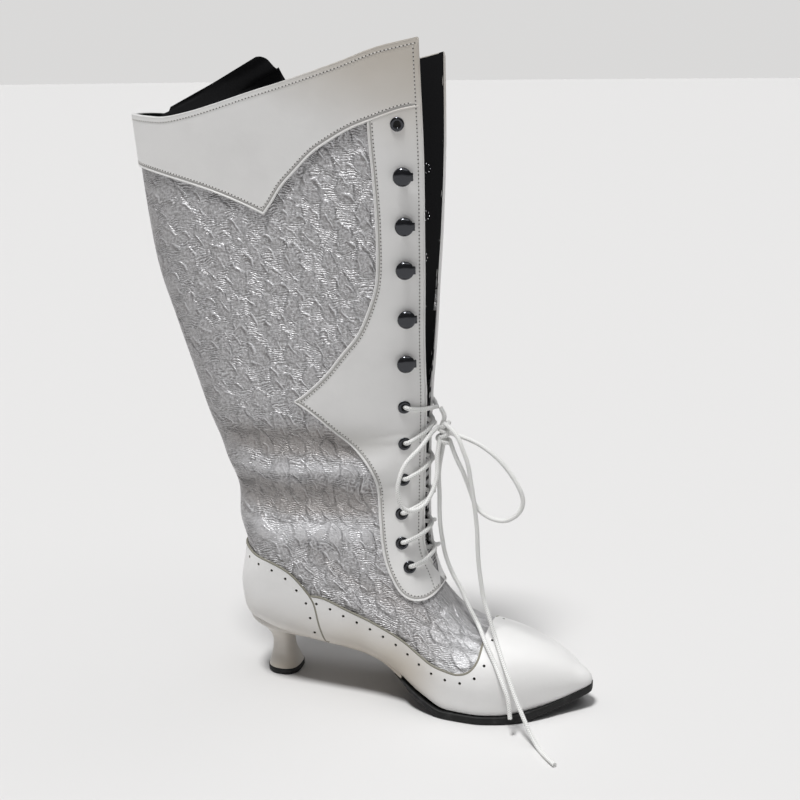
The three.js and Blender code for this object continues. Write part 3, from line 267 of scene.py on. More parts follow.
# Soft troughs (depth above 0) and ridges (below 0) seen from the side, lengths in mm.
# columns: at, up, lean in degrees, length, width, depth
CREASES = [
    (0.08, 0.410, 3, 130, 20.0, 3.6),
    (0.08, 0.371, 3, 130, 14.0, -1.5),
    (0.08, 0.320, 3, 130, 22.0, 4.0),
    (0.07, 0.271, 3, 120, 15.0, -1.9),
    (0.24, 0.200, -30, 90, 10.0, 1.6),
    (0.40, 0.172, -32, 60, 12.0, 1.5),
    (0.36, 0.432, 4, 34, 2.4, 0.45),
    (0.35, 0.415, -4, 30, 2.2, 0.40),
    (0.36, 0.351, 3, 30, 3.0, 0.50),
    (0.31, 0.335, -12, 26, 2.4, 0.35),
    (0.44, 0.118, -24, 40, 6.0, 0.5),
    (0.50, 0.100, -28, 36, 5.0, 0.4),
]

# Shape of the last


def slopes(values, places):
    """Tangents that keep a curve from swinging past its points."""
    steps = np.diff(values) / np.diff(places)
    tangents = [steps[0]]
    for before, after in zip(steps[:-1], steps[1:]):
        turning = before * after <= 0
        tangents.append(0.0 if turning else 2 * before * after / (before + after))
    tangents.append(steps[-1])
    return np.array(tangents)


def curve_through(places, values):
    """Smooth function through (place, value) pairs, for arrays of places."""
    places = np.array(places, float)
    values = np.array(values, float)
    tangents = slopes(values, places)

    def at(place):
        place = np.asarray(place, float)
        i = np.clip(np.searchsorted(places, place, side="right") - 1, 0, len(places) - 2)
        gap = places[i + 1] - places[i]
        u = np.clip((place - places[i]) / gap, 0, 1)
        start = (1 + 2 * u) * (1 - u) ** 2 * values[i]
        leave = u * (1 - u) ** 2 * gap * tangents[i]
        end = u * u * (3 - 2 * u) * values[i + 1]
        arrive = u * u * (u - 1) * gap * tangents[i + 1]
        return start + leave + end + arrive

    return at


GROUND = np.array(GROUND_ROWS)
sole_under = curve_through(
    GROUND[:, 0] * FOOT_LENGTH, GROUND[:, 1] * HEEL_HEIGHT + GROUND[:, 2] * TOE_SPRING
)
sole_thick = curve_through(
    GROUND[:, 0] * FOOT_LENGTH, SHANK_SOLE + GROUND[:, 3] * (SOLE_EDGE - SHANK_SOLE)
)


def sole_top(x):
    return sole_under(x) + sole_thick(x)


def last_bottom(x):
    return sole_top(x) + FIT


def last_sections():
    """Sections from the toe's tip to above the collar, as functions of their number."""
    rows = []
    for at, crest_at, crest, out, into, mid, wide, under, over in FOOT_ROWS:
        x = at * FOOT_LENGTH
        crest_x = crest_at * FOOT_LENGTH
        side = (out * BALL_WIDTH, into * BALL_WIDTH, mid * BALL_WIDTH)
        rows.append((x, last_bottom(x), crest_x, crest * BOOT_HEIGHT, *side, wide, under, over))
    for back, back_z, front, front_z, half, wide, under, over in SHAFT_ROWS:
        rear = (LACE_LINE + back * CALF_DEPTH, back_z * BOOT_HEIGHT)
        fore = (LACE_LINE + front * CALF_DEPTH, front_z * BOOT_HEIGHT)
        side = (-half * CALF_WIDTH, half * CALF_WIDTH, 0)
        rows.append((*rear, *fore, *side, wide, under, over))
    rows = np.array(rows, float)
    return [curve_through(np.arange(len(rows)), rows[:, k]) for k in range(rows.shape[1])]


SECTIONS = last_sections()
LAST_ROW = len(FOOT_ROWS) + len(SHAFT_ROWS) - 1


def skin(t, phi):
    """Points of the last on section t at angle phi, 0 on the crest."""
    t, phi = np.broadcast_arrays(np.asarray(t, float), np.asarray(phi, float))
    back_x, back_z, front_x, front_z, out, into, mid, wide, under, over = [
        column(t) for column in SECTIONS
    ]
    c = np.cos(phi)
    s = np.sin(phi)
    power = np.where(c >= 0, over, under)
    reach = (np.abs(c) ** power + np.abs(s) ** power) ** (-1 / power)
    share = np.where(c >= 0, wide + (1 - wide) * c * reach, wide + wide * c * reach)
    side = np.where(s >= 0, mid - out, into - mid)
    x = back_x + share * (front_x - back_x)
    z = back_z + share * (front_z - back_z)
    return np.stack([x, mid - s * reach * side, z], -1)


def unit(vectors):
    return vectors / np.maximum(np.linalg.norm(vectors, axis=-1, keepdims=True), 1e-12)


def skin_normal(t, phi):
    t, phi = np.broadcast_arrays(np.asarray(t, float), np.asarray(phi, float))
    along = skin(np.minimum(LAST_ROW, t + 0.04), phi) - skin(np.maximum(0, t - 0.04), phi)
    round_ = skin(t, phi + 0.03) - skin(t, phi - 0.03)
    return unit(np.cross(along, round_))


def unroll_table():
    """How far each angle lies from the middle of the side, measured round each section."""
    rows = np.arange(0, LAST_ROW + 0.01, 0.25)
    angles = np.linspace(0, math.pi, 121)
    points = skin(rows[:, None], angles[None, :])
    steps = np.linalg.norm(np.diff(points, axis=1), axis=2)
    lengths = np.concatenate([np.zeros((len(rows), 1)), np.cumsum(steps, axis=1)], axis=1)
    return lengths[:, 60:61] - lengths


UNROLL = unroll_table()


def unrolled(t, phi):
    """Flat side-view place of a point, with the surface laid out round front and back."""
    t, phi = np.broadcast_arrays(np.asarray(t, float), np.asarray(phi, float))
    angle = np.abs((phi + math.pi) % (2 * math.pi) - math.pi)
    row = np.clip(t, 0, LAST_ROW) * 4
    col = angle / math.pi * 120
    i = np.minimum(row.astype(int), UNROLL.shape[0] - 2)
    j = np.minimum(col.astype(int), 119)
    a = row - i
    b = col - j
    low = UNROLL[i, j] * (1 - b) + UNROLL[i, j + 1] * b
    high = UNROLL[i + 1, j] * (1 - b) + UNROLL[i + 1, j + 1] * b
    round_ = low * (1 - a) + high * a
    middle = skin(t, np.full_like(t, math.pi / 2))
    run_x = SECTIONS[2](t) - SECTIONS[0](t)
    run_z = SECTIONS[3](t) - SECTIONS[1](t)
    size = np.hypot(run_x, run_z)
    flat_x = middle[..., 0] + round_ * run_x / size
    flat_z = middle[..., 2] + round_ * run_z / size
    return np.stack([flat_x, flat_z], -1)


def crease_depth(flat):
    """How far the leather lies below (above 0) the last's plain surface."""
    depth = np.zeros(flat.shape[:-1])
    scale = boot_sizes().crease_share
    for at, up, lean, length, width, deep in CREASES:
        turn = math.radians(lean)
        dx = flat[..., 0] - at * FOOT_LENGTH
        dz = flat[..., 1] - up * BOOT_HEIGHT
        along = dx * math.cos(turn) + dz * math.sin(turn)
        across = -dx * math.sin(turn) + dz * math.cos(turn)
        across = across + 0.9 * MM * np.sin(along / (9 * MM) + 7 * up)
        fade = np.exp(-((2 * along / (length * MM)) ** 4))
        depth += scale * deep * MM * fade * np.exp(-((across / (0.6 * width * MM)) ** 2))
    return depth


def place(t, phi, distance):
    """Point on the creased leather, a distance out from it, with the normal there."""
    normal = skin_normal(t, phi)
    sink = crease_depth(unrolled(t, phi))
    return skin(t, phi) + normal * (distance - sink)[..., None], normal


def seen_from_side(x, z):
    """Section, angle and share (0 back, 1 front) of places seen from the side."""
    x = np.asarray(x, float)
    z = np.asarray(z, float)
    low = np.zeros_like(x)
    high = np.full_like(x, LAST_ROW)
    for _ in range(26):
        t = (low + high) / 2
        back_x, back_z, front_x, front_z = [column(t) for column in SECTIONS[:4]]
        off = (x - back_x) * (front_z - back_z) - (z - back_z) * (front_x - back_x)
        low = np.where(off < 0, t, low)
        high = np.where(off < 0, high, t)
    t = (low + high) / 2
    back_x, back_z, front_x, front_z = [column(t) for column in SECTIONS[:4]]
    dx = front_x - back_x
    dz = front_z - back_z
    share = ((x - back_x) * dx + (z - back_z) * dz) / (dx * dx + dz * dz)
    near = np.zeros_like(x)
    far = np.full_like(x, math.pi)
    for _ in range(24):
        middle = (near + far) / 2
        p = skin(t, middle)
        here = ((p[..., 0] - back_x) * dx + (p[..., 2] - back_z) * dz) / (dx * dx + dz * dz)
        near = np.where(here > share, middle, near)
        far = np.where(here > share, far, middle)
    return t, (near + far) / 2, share


def side_at(x, z, side, distance):
    """Point and normal of the leather at places seen from the side."""
    t, angle, _ = seen_from_side(x, z)
    return place(t, angle if side < 0 else -angle, distance)


def locate(points):
    """Section and angle of points anywhere near the last."""
    x, y, z = points[:, 0], points[:, 1], points[:, 2]
    t, _, share = seen_from_side(x, z)
    wide = SECTIONS[7](t)
    mid = SECTIONS[6](t)
    side = np.where(y < mid, mid - SECTIONS[4](t), SECTIONS[5](t) - mid)
    up = np.where(share >= wide, (share - wide) / (1 - wide), (share - wide) / wide)
    return t, np.arctan2((mid - y) / side, up)


# Meshes

# Rows to each section of the last, and points round it
FINE_GRID = (6, 132)
MEDIUM_GRID = (4, 96)
COARSE_GRID = (3, 72)


def from_rings(rings, close_round=True, capped=True):
    """Points and faces of a skin through rings of equal length."""
    count = len(rings)
    n = len(rings[0])
    points = np.asarray(rings, float).reshape(-1, 3)
    faces = []
    last = n if close_round else n - 1
    for r in range(count - 1):
        for i in range(last):
            j = (i + 1) % n
            faces.append((r * n + i, (r + 1) * n + i, (r + 1) * n + j, r * n + j))
    if capped:
        middles = [np.mean(rings[0], axis=0), np.mean(rings[-1], axis=0)]
        hub = len(points)
        points = np.vstack([points, middles])
        base = (count - 1) * n
        for i in range(n):
            j = (i + 1) % n
            faces.append((hub, i, j))
            faces.append((hub + 1, base + j, base + i))
    return points, faces


def last_form(distance, grid):
    """The whole last, closed, grown or shrunk along its normals, creases included."""
    rows_each, around = grid
    t = np.linspace(0, LAST_ROW, LAST_ROW * rows_each + 1)
    phi = np.arange(around) / around * 2 * math.pi
    grid_t, grid_phi = np.meshgrid(t, phi, indexing="ij")
    points, _ = place(grid_t, grid_phi, distance)
    return from_rings(points)


def make_mesh(name, points, faces):
    mesh = bpy.data.meshes.new(name)
    mesh.from_pydata([tuple(p) for p in np.asarray(points).tolist()], [], faces)
    mesh.update()
    return mesh


def add_object(name, mesh):
    thing = bpy.data.objects.new(name, mesh)
    bpy.context.scene.collection.objects.link(thing)
    return thing


def side_slab(outline):
    """A flat outline in x and z pushed through the whole width."""
    outline = [tuple(p) for p in outline]
    area = 0
    for (ax, az), (bx, bz) in zip(outline, outline[1:] + outline[:1]):
        area += ax * bz - bx * az
    if area < 0:
        outline.reverse()
    n = len(outline)
    half = 1.5 * BALL_WIDTH
    points = [(x, -half, z) for x, z in outline] + [(x, half, z) for x, z in outline]
    faces = [tuple(range(n)), tuple(range(2 * n - 1, n - 1, -1))]
    for i in range(n):
        j = (i + 1) % n
        faces.append((i, n + i, n + j, j))
    return np.array(points), faces


def carve(shape, keeps=(), cuts=()):
    """What is left of a closed shape inside the keeps and outside the cuts."""
    body = add_object("carving", make_mesh("carving", *shape))
    tools = []
    for operation, group in (("INTERSECT", keeps), ("DIFFERENCE", cuts)):
        for points, faces in group:
            tool = add_object("carving_tool", make_mesh("carving_tool", points, faces))
            tools.append(tool)
            step = body.modifiers.new("carve", "BOOLEAN")
            step.operation = operation
            step.solver = "MANIFOLD"
            step.object = tool
    bpy.context.view_layer.update()
    graph = bpy.context.evaluated_depsgraph_get()
    mesh = bpy.data.meshes.new_from_object(body.evaluated_get(graph))
    count = len(mesh.vertices)
    points = np.empty(count * 3)
    mesh.vertices.foreach_get("co", points)
    faces = [tuple(face.vertices) for face in mesh.polygons]
    bpy.data.meshes.remove(mesh)
    for thing in [body, *tools]:
        data = thing.data
        bpy.data.objects.remove(thing)
        bpy.data.meshes.remove(data)
    if not faces:
        raise RuntimeError("carving left nothing")
    return points.reshape(-1, 3), faces


def through(points, steps_each=16):
    """Points of a centripetal curve through points, as dense as asked."""
    points = np.asarray(points, float)
    first = 2 * points[0] - points[1]
    last = 2 * points[-1] - points[-2]
    rows = np.vstack([first, points, last])
    out = []
    for k in range(1, len(rows) - 2):
        p0, p1, p2, p3 = rows[k - 1 : k + 3]
        gaps = [max(1e-6, np.linalg.norm(b - a) ** 0.5) for a, b in ((p0, p1), (p1, p2), (p2, p3))]
        start = (p1 - p0) / gaps[0] - (p2 - p0) / (gaps[0] + gaps[1]) + (p2 - p1) / gaps[1]
        end = (p2 - p1) / gaps[1] - (p3 - p1) / (gaps[1] + gaps[2]) + (p3 - p2) / gaps[2]
        start = start * gaps[1]
        end = end * gaps[1]
        for u in np.arange(steps_each) / steps_each:
            square = -3 * p1 + 3 * p2 - 2 * start - end
            cube = 2 * p1 - 2 * p2 + start + end
            out.append(p1 + start * u + square * u * u + cube * u**3)
    out.append(points[-1])
    return np.array(out)


def spaced(points, step):
    """The same line with points a step apart."""
    points = np.asarray(points, float)
    lengths = np.concatenate([[0], np.cumsum(np.linalg.norm(np.diff(points, axis=0), axis=1))])
    count = max(2, int(round(lengths[-1] / step)) + 1)
    at = np.linspace(0, lengths[-1], count)
    return np.stack([np.interp(at, lengths, points[:, k]) for k in range(points.shape[1])], -1)


def trace(rows):
    """Smooth outline in x and z from a table of shares."""
    return through([(at * FOOT_LENGTH, up * BOOT_HEIGHT) for at, up in rows])


def inset(outline, distance):
    """The outline moved sideways, to its left where distance is above 0."""
    run = unit(np.gradient(outline, axis=0))
    return outline + distance * np.stack([-run[:, 1], run[:, 0]], -1)


def surface_line(outline, side, distance, step=1.0 * MM):
    """The part of a side-view outline that lies on the boot, as points and normals."""
    line = spaced(outline, step)
    t, angle, share = seen_from_side(line[:, 0], line[:, 1])
    on = (share > 0.004) & (share < 0.996) & (t > 0.02) & (t < LAST_ROW - 0.02)
    t, angle = t[on], angle[on]
    return place(t, angle if side < 0 else -angle, distance)


def sweep(points, radius, sides=8, normals=None, flat=1.0, closed=False, taper=0.0):
    """Tube along points, turned with the normals where they are given."""
    points = np.asarray(points, float)
    if closed:
        before, after = np.roll(points, 1, axis=0), np.roll(points, -1, axis=0)
        run = unit(after - before)
    else:
        run = unit(np.gradient(points, axis=0))
    if normals is None:
        normals = np.zeros_like(points)
        guide = np.array([0.0, 0.0, 1.0]) if abs(run[0][2]) < 0.9 else np.array([1.0, 0.0, 0.0])
        for i, direction in enumerate(run):
            guide = guide - direction * float(guide @ direction)
            guide = guide / np.linalg.norm(guide)
            normals[i] = guide
    else:
        normals = unit(normals - run * np.sum(normals * run, axis=1, keepdims=True))
    across = np.cross(run, normals)
    angles = np.arange(sides) / sides * 2 * math.pi
    size = np.full(len(points), radius)
    if taper:
        ends = np.minimum(np.arange(len(points)), np.arange(len(points))[::-1])
        size = radius * np.minimum(1, 0.25 + ends / taper)
    rings = (
        points[:, None, :]
        + across[:, None, :] * (np.cos(angles)[None, :, None] * size[:, None, None])
        + normals[:, None, :] * (np.sin(angles)[None, :, None] * size[:, None, None] * flat)
    )
    if closed:
        rings = np.concatenate([rings, rings[:1]])
    return from_rings(rings, capped=not closed)


def turned(profile, sides, base, axis):
    """Piece turned about an axis from (radius, height) pairs."""
    axis = Vector(axis)
    spin = np.array(Vector((0, 0, 1)).rotation_difference(axis).to_matrix())
    angles = np.arange(sides) / sides * 2 * math.pi
    rings = []
    for radius, height in profile:
        ring = np.stack(
            [radius * np.cos(angles), radius * np.sin(angles), np.full(sides, height)], -1
        )
        rings.append(ring @ spin.T + np.asarray(base))
    return np.array(rings)


def merge(parts):
    """Several (points, faces) as one."""
    points, faces = [], []
    base = 0
    for part_points, part_faces in parts:
        points.append(part_points)
        faces.extend([tuple(i + base for i in face) for face in part_faces])
        base += len(part_points)
    return np.vstack(points), faces


def add_piece(name, shape, looks, nodes=(), paint=None, sharp=35, mapped=False):
    """Adds a mesh piece of the boot that rides on the root and stands for CAD nodes."""
    points, faces = shape
    mesh = make_mesh(name, points, faces)
    for look in looks:
        mesh.materials.append(finish(look))
    if paint is not None:
        mesh.polygons.foreach_set("material_index", np.asarray(paint, dtype=np.int32))
    mesh.polygons.foreach_set("use_smooth", np.ones(len(mesh.polygons), dtype=bool))
    mesh.set_sharp_from_angle(angle=math.radians(sharp))
    if mapped:
        flat = unrolled(*locate(np.asarray(points)))
        corners = np.empty(len(mesh.loops), dtype=np.int32)
        mesh.loops.foreach_get("vertex_index", corners)
        layer = mesh.uv_layers.new(name="unrolled")
        cloth = flat - CLOTH_TURN * np.abs(np.asarray(points)[:, 1:2])
        layer.data.foreach_set("uv", cloth[corners].astype(np.float32).ravel())
        # Crease depth, which the finishes turn into painted shade in the troughs and a painted highlight on
        # the ridges
        sunk = mesh.attributes.new("sunk", "FLOAT", "POINT")
        sunk.data.foreach_set("value", (crease_depth(flat) / (3 * MM)).astype(np.float32))
    mesh.update()
    piece = add_object(name, mesh)
    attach(piece, "root")
    if nodes:
        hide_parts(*nodes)
    return piece


def face_sides(shape):
    """For each face 0 where it looks out of the last, 1 where it looks in, 2 at a cut."""
    points, faces = shape
    points = np.asarray(points)
    middles = np.array([points[list(face)].mean(axis=0) for face in faces])
    corner = np.array([points[list(face[:3])] for face in faces])
    facing = unit(np.cross(corner[:, 1] - corner[:, 0], corner[:, 2] - corner[:, 0]))
    t, phi = locate(middles)
    dot = np.sum(facing * skin_normal(t, phi), axis=1)
    return np.where(dot > 0.6, 0, np.where(dot < -0.6, 1, 2))
# Finishes

# Painted shade in the crease troughs: its strength, and its colour on brocade and on leather
CREASE_SHADE_SHARE = 0.6
BROCADE_CREASE_SHADE = (0.30, 0.27, 0.25)
LEATHER_CREASE_SHADE = (0.50, 0.49, 0.46)
# Colours of the painted warm shade low behind the ball and at the collar's front
LEATHER_WARM_SHADE = (0.47, 0.415, 0.34)
BROCADE_WARM_SHADE = (0.30, 0.275, 0.255)
# Colour of the painted light on the front of the vamp
BROCADE_PAINTED_LIGHT = (0.96, 0.97, 0.99)
SOCKETS = {
    "colour": "Base Color",
    "rough": "Roughness",
    "metal": "Metallic",
    "shine": "Specular IOR Level",
    "coat": "Coat Weight",
    "coat_rough": "Coat Roughness",
    "sheen": "Sheen Weight",
}


class Graph:
    """Short ways to add shader nodes; each gives back an output."""

    def __init__(self, owner):
        self.owner = owner
        owner.use_nodes = True
        self.nodes = owner.node_tree.nodes
        self.links = owner.node_tree.links

    def feed(self, value, socket):
        """A number or colour is set on the socket, an output is linked to it."""
        if isinstance(value, (int, float)):
            socket.default_value = value
        elif isinstance(value, tuple):
            socket.default_value = (*value, 1)
        else:
            self.links.new(value, socket)

    def shade(self, **settings):
        """Sets the Principled shader and gives back the material."""
        for name, value in settings.items():
            self.feed(value, self.nodes["Principled BSDF"].inputs[SOCKETS[name]])
        return self.owner

    def math(self, operation, *values):
        node = self.nodes.new("ShaderNodeMath")
        node.operation = operation
        for value, socket in zip(values, node.inputs):
            self.feed(value, socket)
        return node.outputs[0]

    def times(self, first, *others):
        for other in others:
            first = self.math("MULTIPLY", first, other)
        return first

    def grown(self, value, factor, more):
        return self.math("MULTIPLY_ADD", value, factor, more)

    def larger(self, pair):
        return self.math("MAXIMUM", *pair)

    def band(self, value, low, high):
        """0 below low, 1 above high, soft between; low above high turns it round."""
        node = self.nodes.new("ShaderNodeMapRange")
        node.interpolation_type = "SMOOTHSTEP"
        limits = (min(low, high), max(low, high), float(low > high), float(low < high))
        for limit, name in zip(limits, ("From Min", "From Max", "To Min", "To Max")):
            node.inputs[name].default_value = limit
        self.feed(value, node.inputs["Value"])
        return node.outputs["Result"]

    def noise(self, vector, scale, detail=2, rough=0.55, output="Fac"):
        node = self.nodes.new("ShaderNodeTexNoise")
        for value, name in ((vector, "Vector"), (scale, "Scale"), (detail, "Detail"), (rough, "Roughness")):
            self.feed(value, node.inputs[name])
        return node.outputs[output]

    def bump(self, height, distance, strength=1.0, below=None):
        node = self.nodes.new("ShaderNodeBump")
        for value, name in ((distance, "Distance"), (strength, "Strength"), (height, "Height")):
            self.feed(value, node.inputs[name])
        if below is not None:
            self.feed(below, node.inputs["Normal"])
        self.feed(node.outputs["Normal"], self.nodes["Principled BSDF"].inputs["Normal"])
        return node.outputs["Normal"]

    def mix(self, share, first, second):
        node = self.nodes.new("ShaderNodeMix")
        node.data_type = "RGBA"
        self.feed(share, node.inputs["Factor"])
        for name, value in (("A", first), ("B", second)):
            self.feed(value, [s for s in node.inputs if s.name == name and s.type == "RGBA"][0])
        return [s for s in node.outputs if s.type == "RGBA"][0]

    def parts(self, vector):
        node = self.nodes.new("ShaderNodeSeparateXYZ")
        self.feed(vector, node.inputs["Vector"])
        return node.outputs["X"], node.outputs["Y"], node.outputs["Z"]

    def here(self, space="Object"):
        return self.nodes.new("ShaderNodeTexCoord").outputs[space]

    def map(self, name):
        node = self.nodes.new("ShaderNodeUVMap")
        node.uv_map = name
        return node.outputs["UV"]

    def sunk(self):
        node = self.nodes.new("ShaderNodeAttribute")
        node.attribute_name = "sunk"
        return node.outputs["Fac"]

    def shaded_in_creases(self, tone, wear):
        """Painted shade: warmer and darker where the crease map of the mesh says the leather is sunk; wear is
        the colour of that shade.
        """
        share = self.times(self.band(self.sunk(), 0.05, 1.0), CREASE_SHADE_SHARE)
        return self.mix(share, tone, wear)

    def warm_shade_low_and_at_collar(self, tone, shade_tone, share):
        """Painted warm shade, broken up by noise clouds: darker and yellower toward the collar's front and
        toward the sole behind the ball.
        """
        x, _, z = self.parts(self.here())
        low = self.band(z, 0.17 * BOOT_HEIGHT, 0.06 * BOOT_HEIGHT)
        low = self.times(low, self.band(x, 0.56 * FOOT_LENGTH, 0.36 * FOOT_LENGTH))
        high = self.band(self.grown(x, 0.35, z), 0.90 * BOOT_HEIGHT, 1.06 * BOOT_HEIGHT)
        both = self.larger((low, self.times(high, 0.8)))
        clouds = self.band(self.noise(self.here(), 14), 0.3, 0.7)
        return self.mix(self.times(both, self.grown(clouds, 0.6, 0.55), share), tone, shade_tone)

    def lit_at_tip(self, tone, lit_tone, share):
        """Painted light: brighter toward the front of the vamp, where the cloth faces the light."""
        front = self.band(self.parts(self.here())[0], 0.44 * FOOT_LENGTH, 0.58 * FOOT_LENGTH)
        return self.mix(self.times(front, share), tone, lit_tone)

    def staggered_cells(self, first, second, wide, tall):
        """Two staggered lattices: for each, the place in its cell from -0.5 to 0.5 both ways."""
        places = []
        for shift in (0.0, 0.5):
            at = [self.grown(first, 1 / wide, shift), self.grown(second, 1 / tall, shift)]
            places.append([self.math("SUBTRACT", self.math("FRACT", value), 0.5) for value in at])
        return places


def plain(graph, colour, rough, metal=0.0):
    return graph.shade(colour=colour, rough=rough, metal=metal)


def smooth_leather(graph, colour, duller, rough):
    """Smooth white leather: faint grey clouds, fine grain, a soft coat, and painted shade in the creases, low
    behind the ball and at the collar's front.
    """
    at = graph.here()
    tone = graph.mix(graph.band(graph.noise(at, 28, 3), 0.42, 0.72), colour, duller)
    tone = graph.shaded_in_creases(graph.warm_shade_low_and_at_collar(tone, LEATHER_WARM_SHADE, 0.82), LEATHER_CREASE_SHADE)
    low = graph.bump(graph.noise(at, 90), 0.5 * MM, 0.5)
    graph.bump(graph.noise(at, 1500), 0.06 * MM, 0.6, below=low)
    return graph.shade(colour=tone, rough=rough, shine=0.45, coat=0.12, coat_rough=0.25)


def brocade(graph, raised, ground):
    """Silver-white satin: wavy ribs, smooth leaves and short raised strokes that lean, with the light and
    shade of this relief painted into the tone.
    """
    sizes = boot_sizes()
    flat = graph.map("unrolled")
    warp = graph.nodes.new("ShaderNodeVectorMath")
    warp.operation = "MULTIPLY_ADD"
    graph.feed(graph.noise(flat, 55, output="Color"), warp.inputs[0])
    warp.inputs[1].default_value = (11 * MM, 11 * MM, 0)
    graph.feed(flat, warp.inputs[2])
    x, y, _ = graph.parts(warp.outputs["Vector"])

    puffs = []
    for a, b in graph.staggered_cells(x, y, sizes.leaf_width, sizes.leaf_height):
        across = graph.math("DIVIDE", graph.grown(b, 0.3, a), graph.grown(b, -0.30, 0.27))
        up = graph.math("DIVIDE", b, 0.33)
        reach = graph.math("SQRT", graph.grown(up, up, graph.times(across, across)))
        puffs.append(graph.band(reach, 1.05, 0.65))
    puff = graph.larger(puffs)

    down = graph.times(graph.math("SUBTRACT", x, y), 0.7071)
    over = graph.times(graph.math("ADD", x, y), 0.7071)
    strokes, stroke_shadows = [], []
    for a, b in graph.staggered_cells(down, over, sizes.stroke_length * 1.75, sizes.stroke_gap):
        off = graph.math("ADD", b, graph.times(a, a, 1.2))
        length = graph.band(graph.math("ABSOLUTE", a), 0.27, 0.12)
        # A bright band along each stroke, and just below it a darker band that is the stroke's painted shadow
        for middle, wide, found in ((0.0, 0.075, strokes), (-0.13, 0.11, stroke_shadows)):
            near = graph.math("ABSOLUTE", graph.math("SUBTRACT", off, middle))
            found.append(graph.times(graph.band(near, wide, 0.2 * wide), length))
    broken = graph.band(graph.noise(flat, 75), 0.40, 0.56)
    stroke = graph.times(graph.larger(strokes), broken)
    shade = graph.times(graph.larger(stroke_shadows), broken)

    beat = graph.times(y, 2 * math.pi / sizes.rib_pitch)
    rib = graph.math("SINE", graph.grown(graph.noise(flat, 230), 9.0, beat))
    strong = graph.band(graph.noise(flat, 130), 0.33, 0.62)
    rib = graph.times(rib, graph.times(strong, graph.grown(puff, -0.65, 1.0)))
    crinkle = graph.noise(flat, 560, rough=0.65)

    height = graph.times(puff, 0.75)
    for part, weight in ((stroke, 0.24), (shade, -0.06), (rib, 0.15), (crinkle, 0.42)):
        height = graph.grown(part, weight, height)
    graph.bump(height, sizes.leaf_relief)
    # The tone follows the relief: painted shade in the rib troughs and crinkles, painted highlight on the
    # strokes, painted shadow below them
    share = graph.grown(crinkle, 1.5, -0.38)
    for part, weight in ((rib, 0.30), (stroke, 0.60), (shade, -0.34), (puff, -0.02)):
        share = graph.grown(part, weight, share)
    tone = graph.mix(graph.band(share, -0.1, 1.0), ground, raised)
    tone = graph.warm_shade_low_and_at_collar(graph.shaded_in_creases(tone, BROCADE_CREASE_SHADE), BROCADE_WARM_SHADE, 0.55)
    tone = graph.lit_at_tip(tone, BROCADE_PAINTED_LIGHT, 0.42)
    # Painted highlight: where the crease map says the cloth stands up in a ridge, its tone goes toward the
    # raised colour
    tone = graph.mix(graph.times(graph.band(graph.sunk(), -0.02, -0.35), 0.6), tone, raised)
    # Painted shade: the cloth goes toward its ground colour where it turns away from view
    slant = graph.nodes.new("ShaderNodeLayerWeight")
    slant.inputs["Blend"].default_value = 0.5
    painted_edge_shade = graph.times(graph.band(slant.outputs["Facing"], 0.08, 0.65), 0.6)
    tone = graph.mix(painted_edge_shade, tone, ground)
    return graph.shade(colour=tone, metal=0.35, rough=0.42, shine=0.5, sheen=0.15)


def woven_cloth(graph, colour, lighter, scale):
    """Dull cloth or board with a fine, uneven nap."""
    nap = graph.noise(graph.here(), scale, 3)
    graph.bump(nap, 0.15 * MM, 0.6)
    return graph.shade(colour=graph.mix(nap, colour, lighter), rough=0.9, shine=0.2)


def braided_cord(graph, colour, between):
    """Round white cord: strands lean both ways round it, with painted shade between the strands."""
    round_, along, _ = graph.parts(graph.map("along"))
    waves = []
    for lean in (1, -1):
        turn = graph.times(round_, 2 * math.pi * 4 * lean)
        waves.append(graph.math("SINE", graph.grown(along, 2 * math.pi / (1.5 * MM), turn)))
    weave = graph.larger(waves)
    graph.bump(weave, 0.12 * MM, 0.6)
    return graph.shade(colour=graph.mix(graph.band(weave, -0.4, 0.9), between, colour), rough=0.75, sheen=0.2)


def dark_rubber(graph, colour):
    at = graph.here()
    lighter = tuple(min(1, c * 2.2 + 0.012) for c in colour)
    tone = graph.mix(graph.band(graph.noise(at, 120, 4), 0.5, 0.8), colour, lighter)
    graph.bump(graph.noise(at, 700), 0.08 * MM, 0.5)
    return graph.shade(colour=tone, rough=0.55, shine=0.25)


def finish(name):
    """The finish of that name, made where it's first asked for."""
    if name in bpy.data.materials:
        return bpy.data.materials[name]
    group = bpy.context.scene.boot_colours
    colours = {key: tuple(getattr(group, key)) for key in group.__annotations__}
    leather = colours["leather"]
    makers = {
        "White leather": (smooth_leather, leather, colours["leather_shade"], 0.4),
        "Folded leather edge": (smooth_leather, leather, leather, 0.35),
        "Cut leather edge": (plain, colours["cut_edge"], 0.8),
        "Brocade": (brocade, colours["brocade"], colours["brocade_low"]),
        "Black lining": (woven_cloth, colours["lining"], (0.012, 0.012, 0.013), 900),
        "Insole board": (woven_cloth, (0.012, 0.011, 0.010), (0.03, 0.028, 0.026), 400),
        "Black rubber": (dark_rubber, colours["rubber"]),
        "Gunmetal": (plain, colours["metal"], 0.16, 0.9),
        "Silver rivet": (plain, (0.62, 0.62, 0.64), 0.25, 1.0),
        "Seam thread": (plain, colours["thread"], 0.7),
        "Stitched groove": (plain, colours["groove"], 0.7),
        "Needle hole": (plain, (0.10, 0.095, 0.09), 0.9),
        "Punched hole": (plain, (0.015, 0.014, 0.013), 0.9),
        "White cord": (braided_cord, colours["cord"], colours["cord_shade"]),
    }
    maker, *settings = makers[name]
    return maker(Graph(bpy.data.materials.new(name)), *settings)


# Sizes and colours that a user would change


def colour_property(name, description, default):
    return bpy.props.FloatVectorProperty(
        name=name, description=description, default=default, subtype="COLOR", size=3, min=0, max=1
    )


def length_property(name, description, default):
    return bpy.props.FloatProperty(
        name=name, description=description, default=default, min=0, unit="LENGTH", precision=5
    )


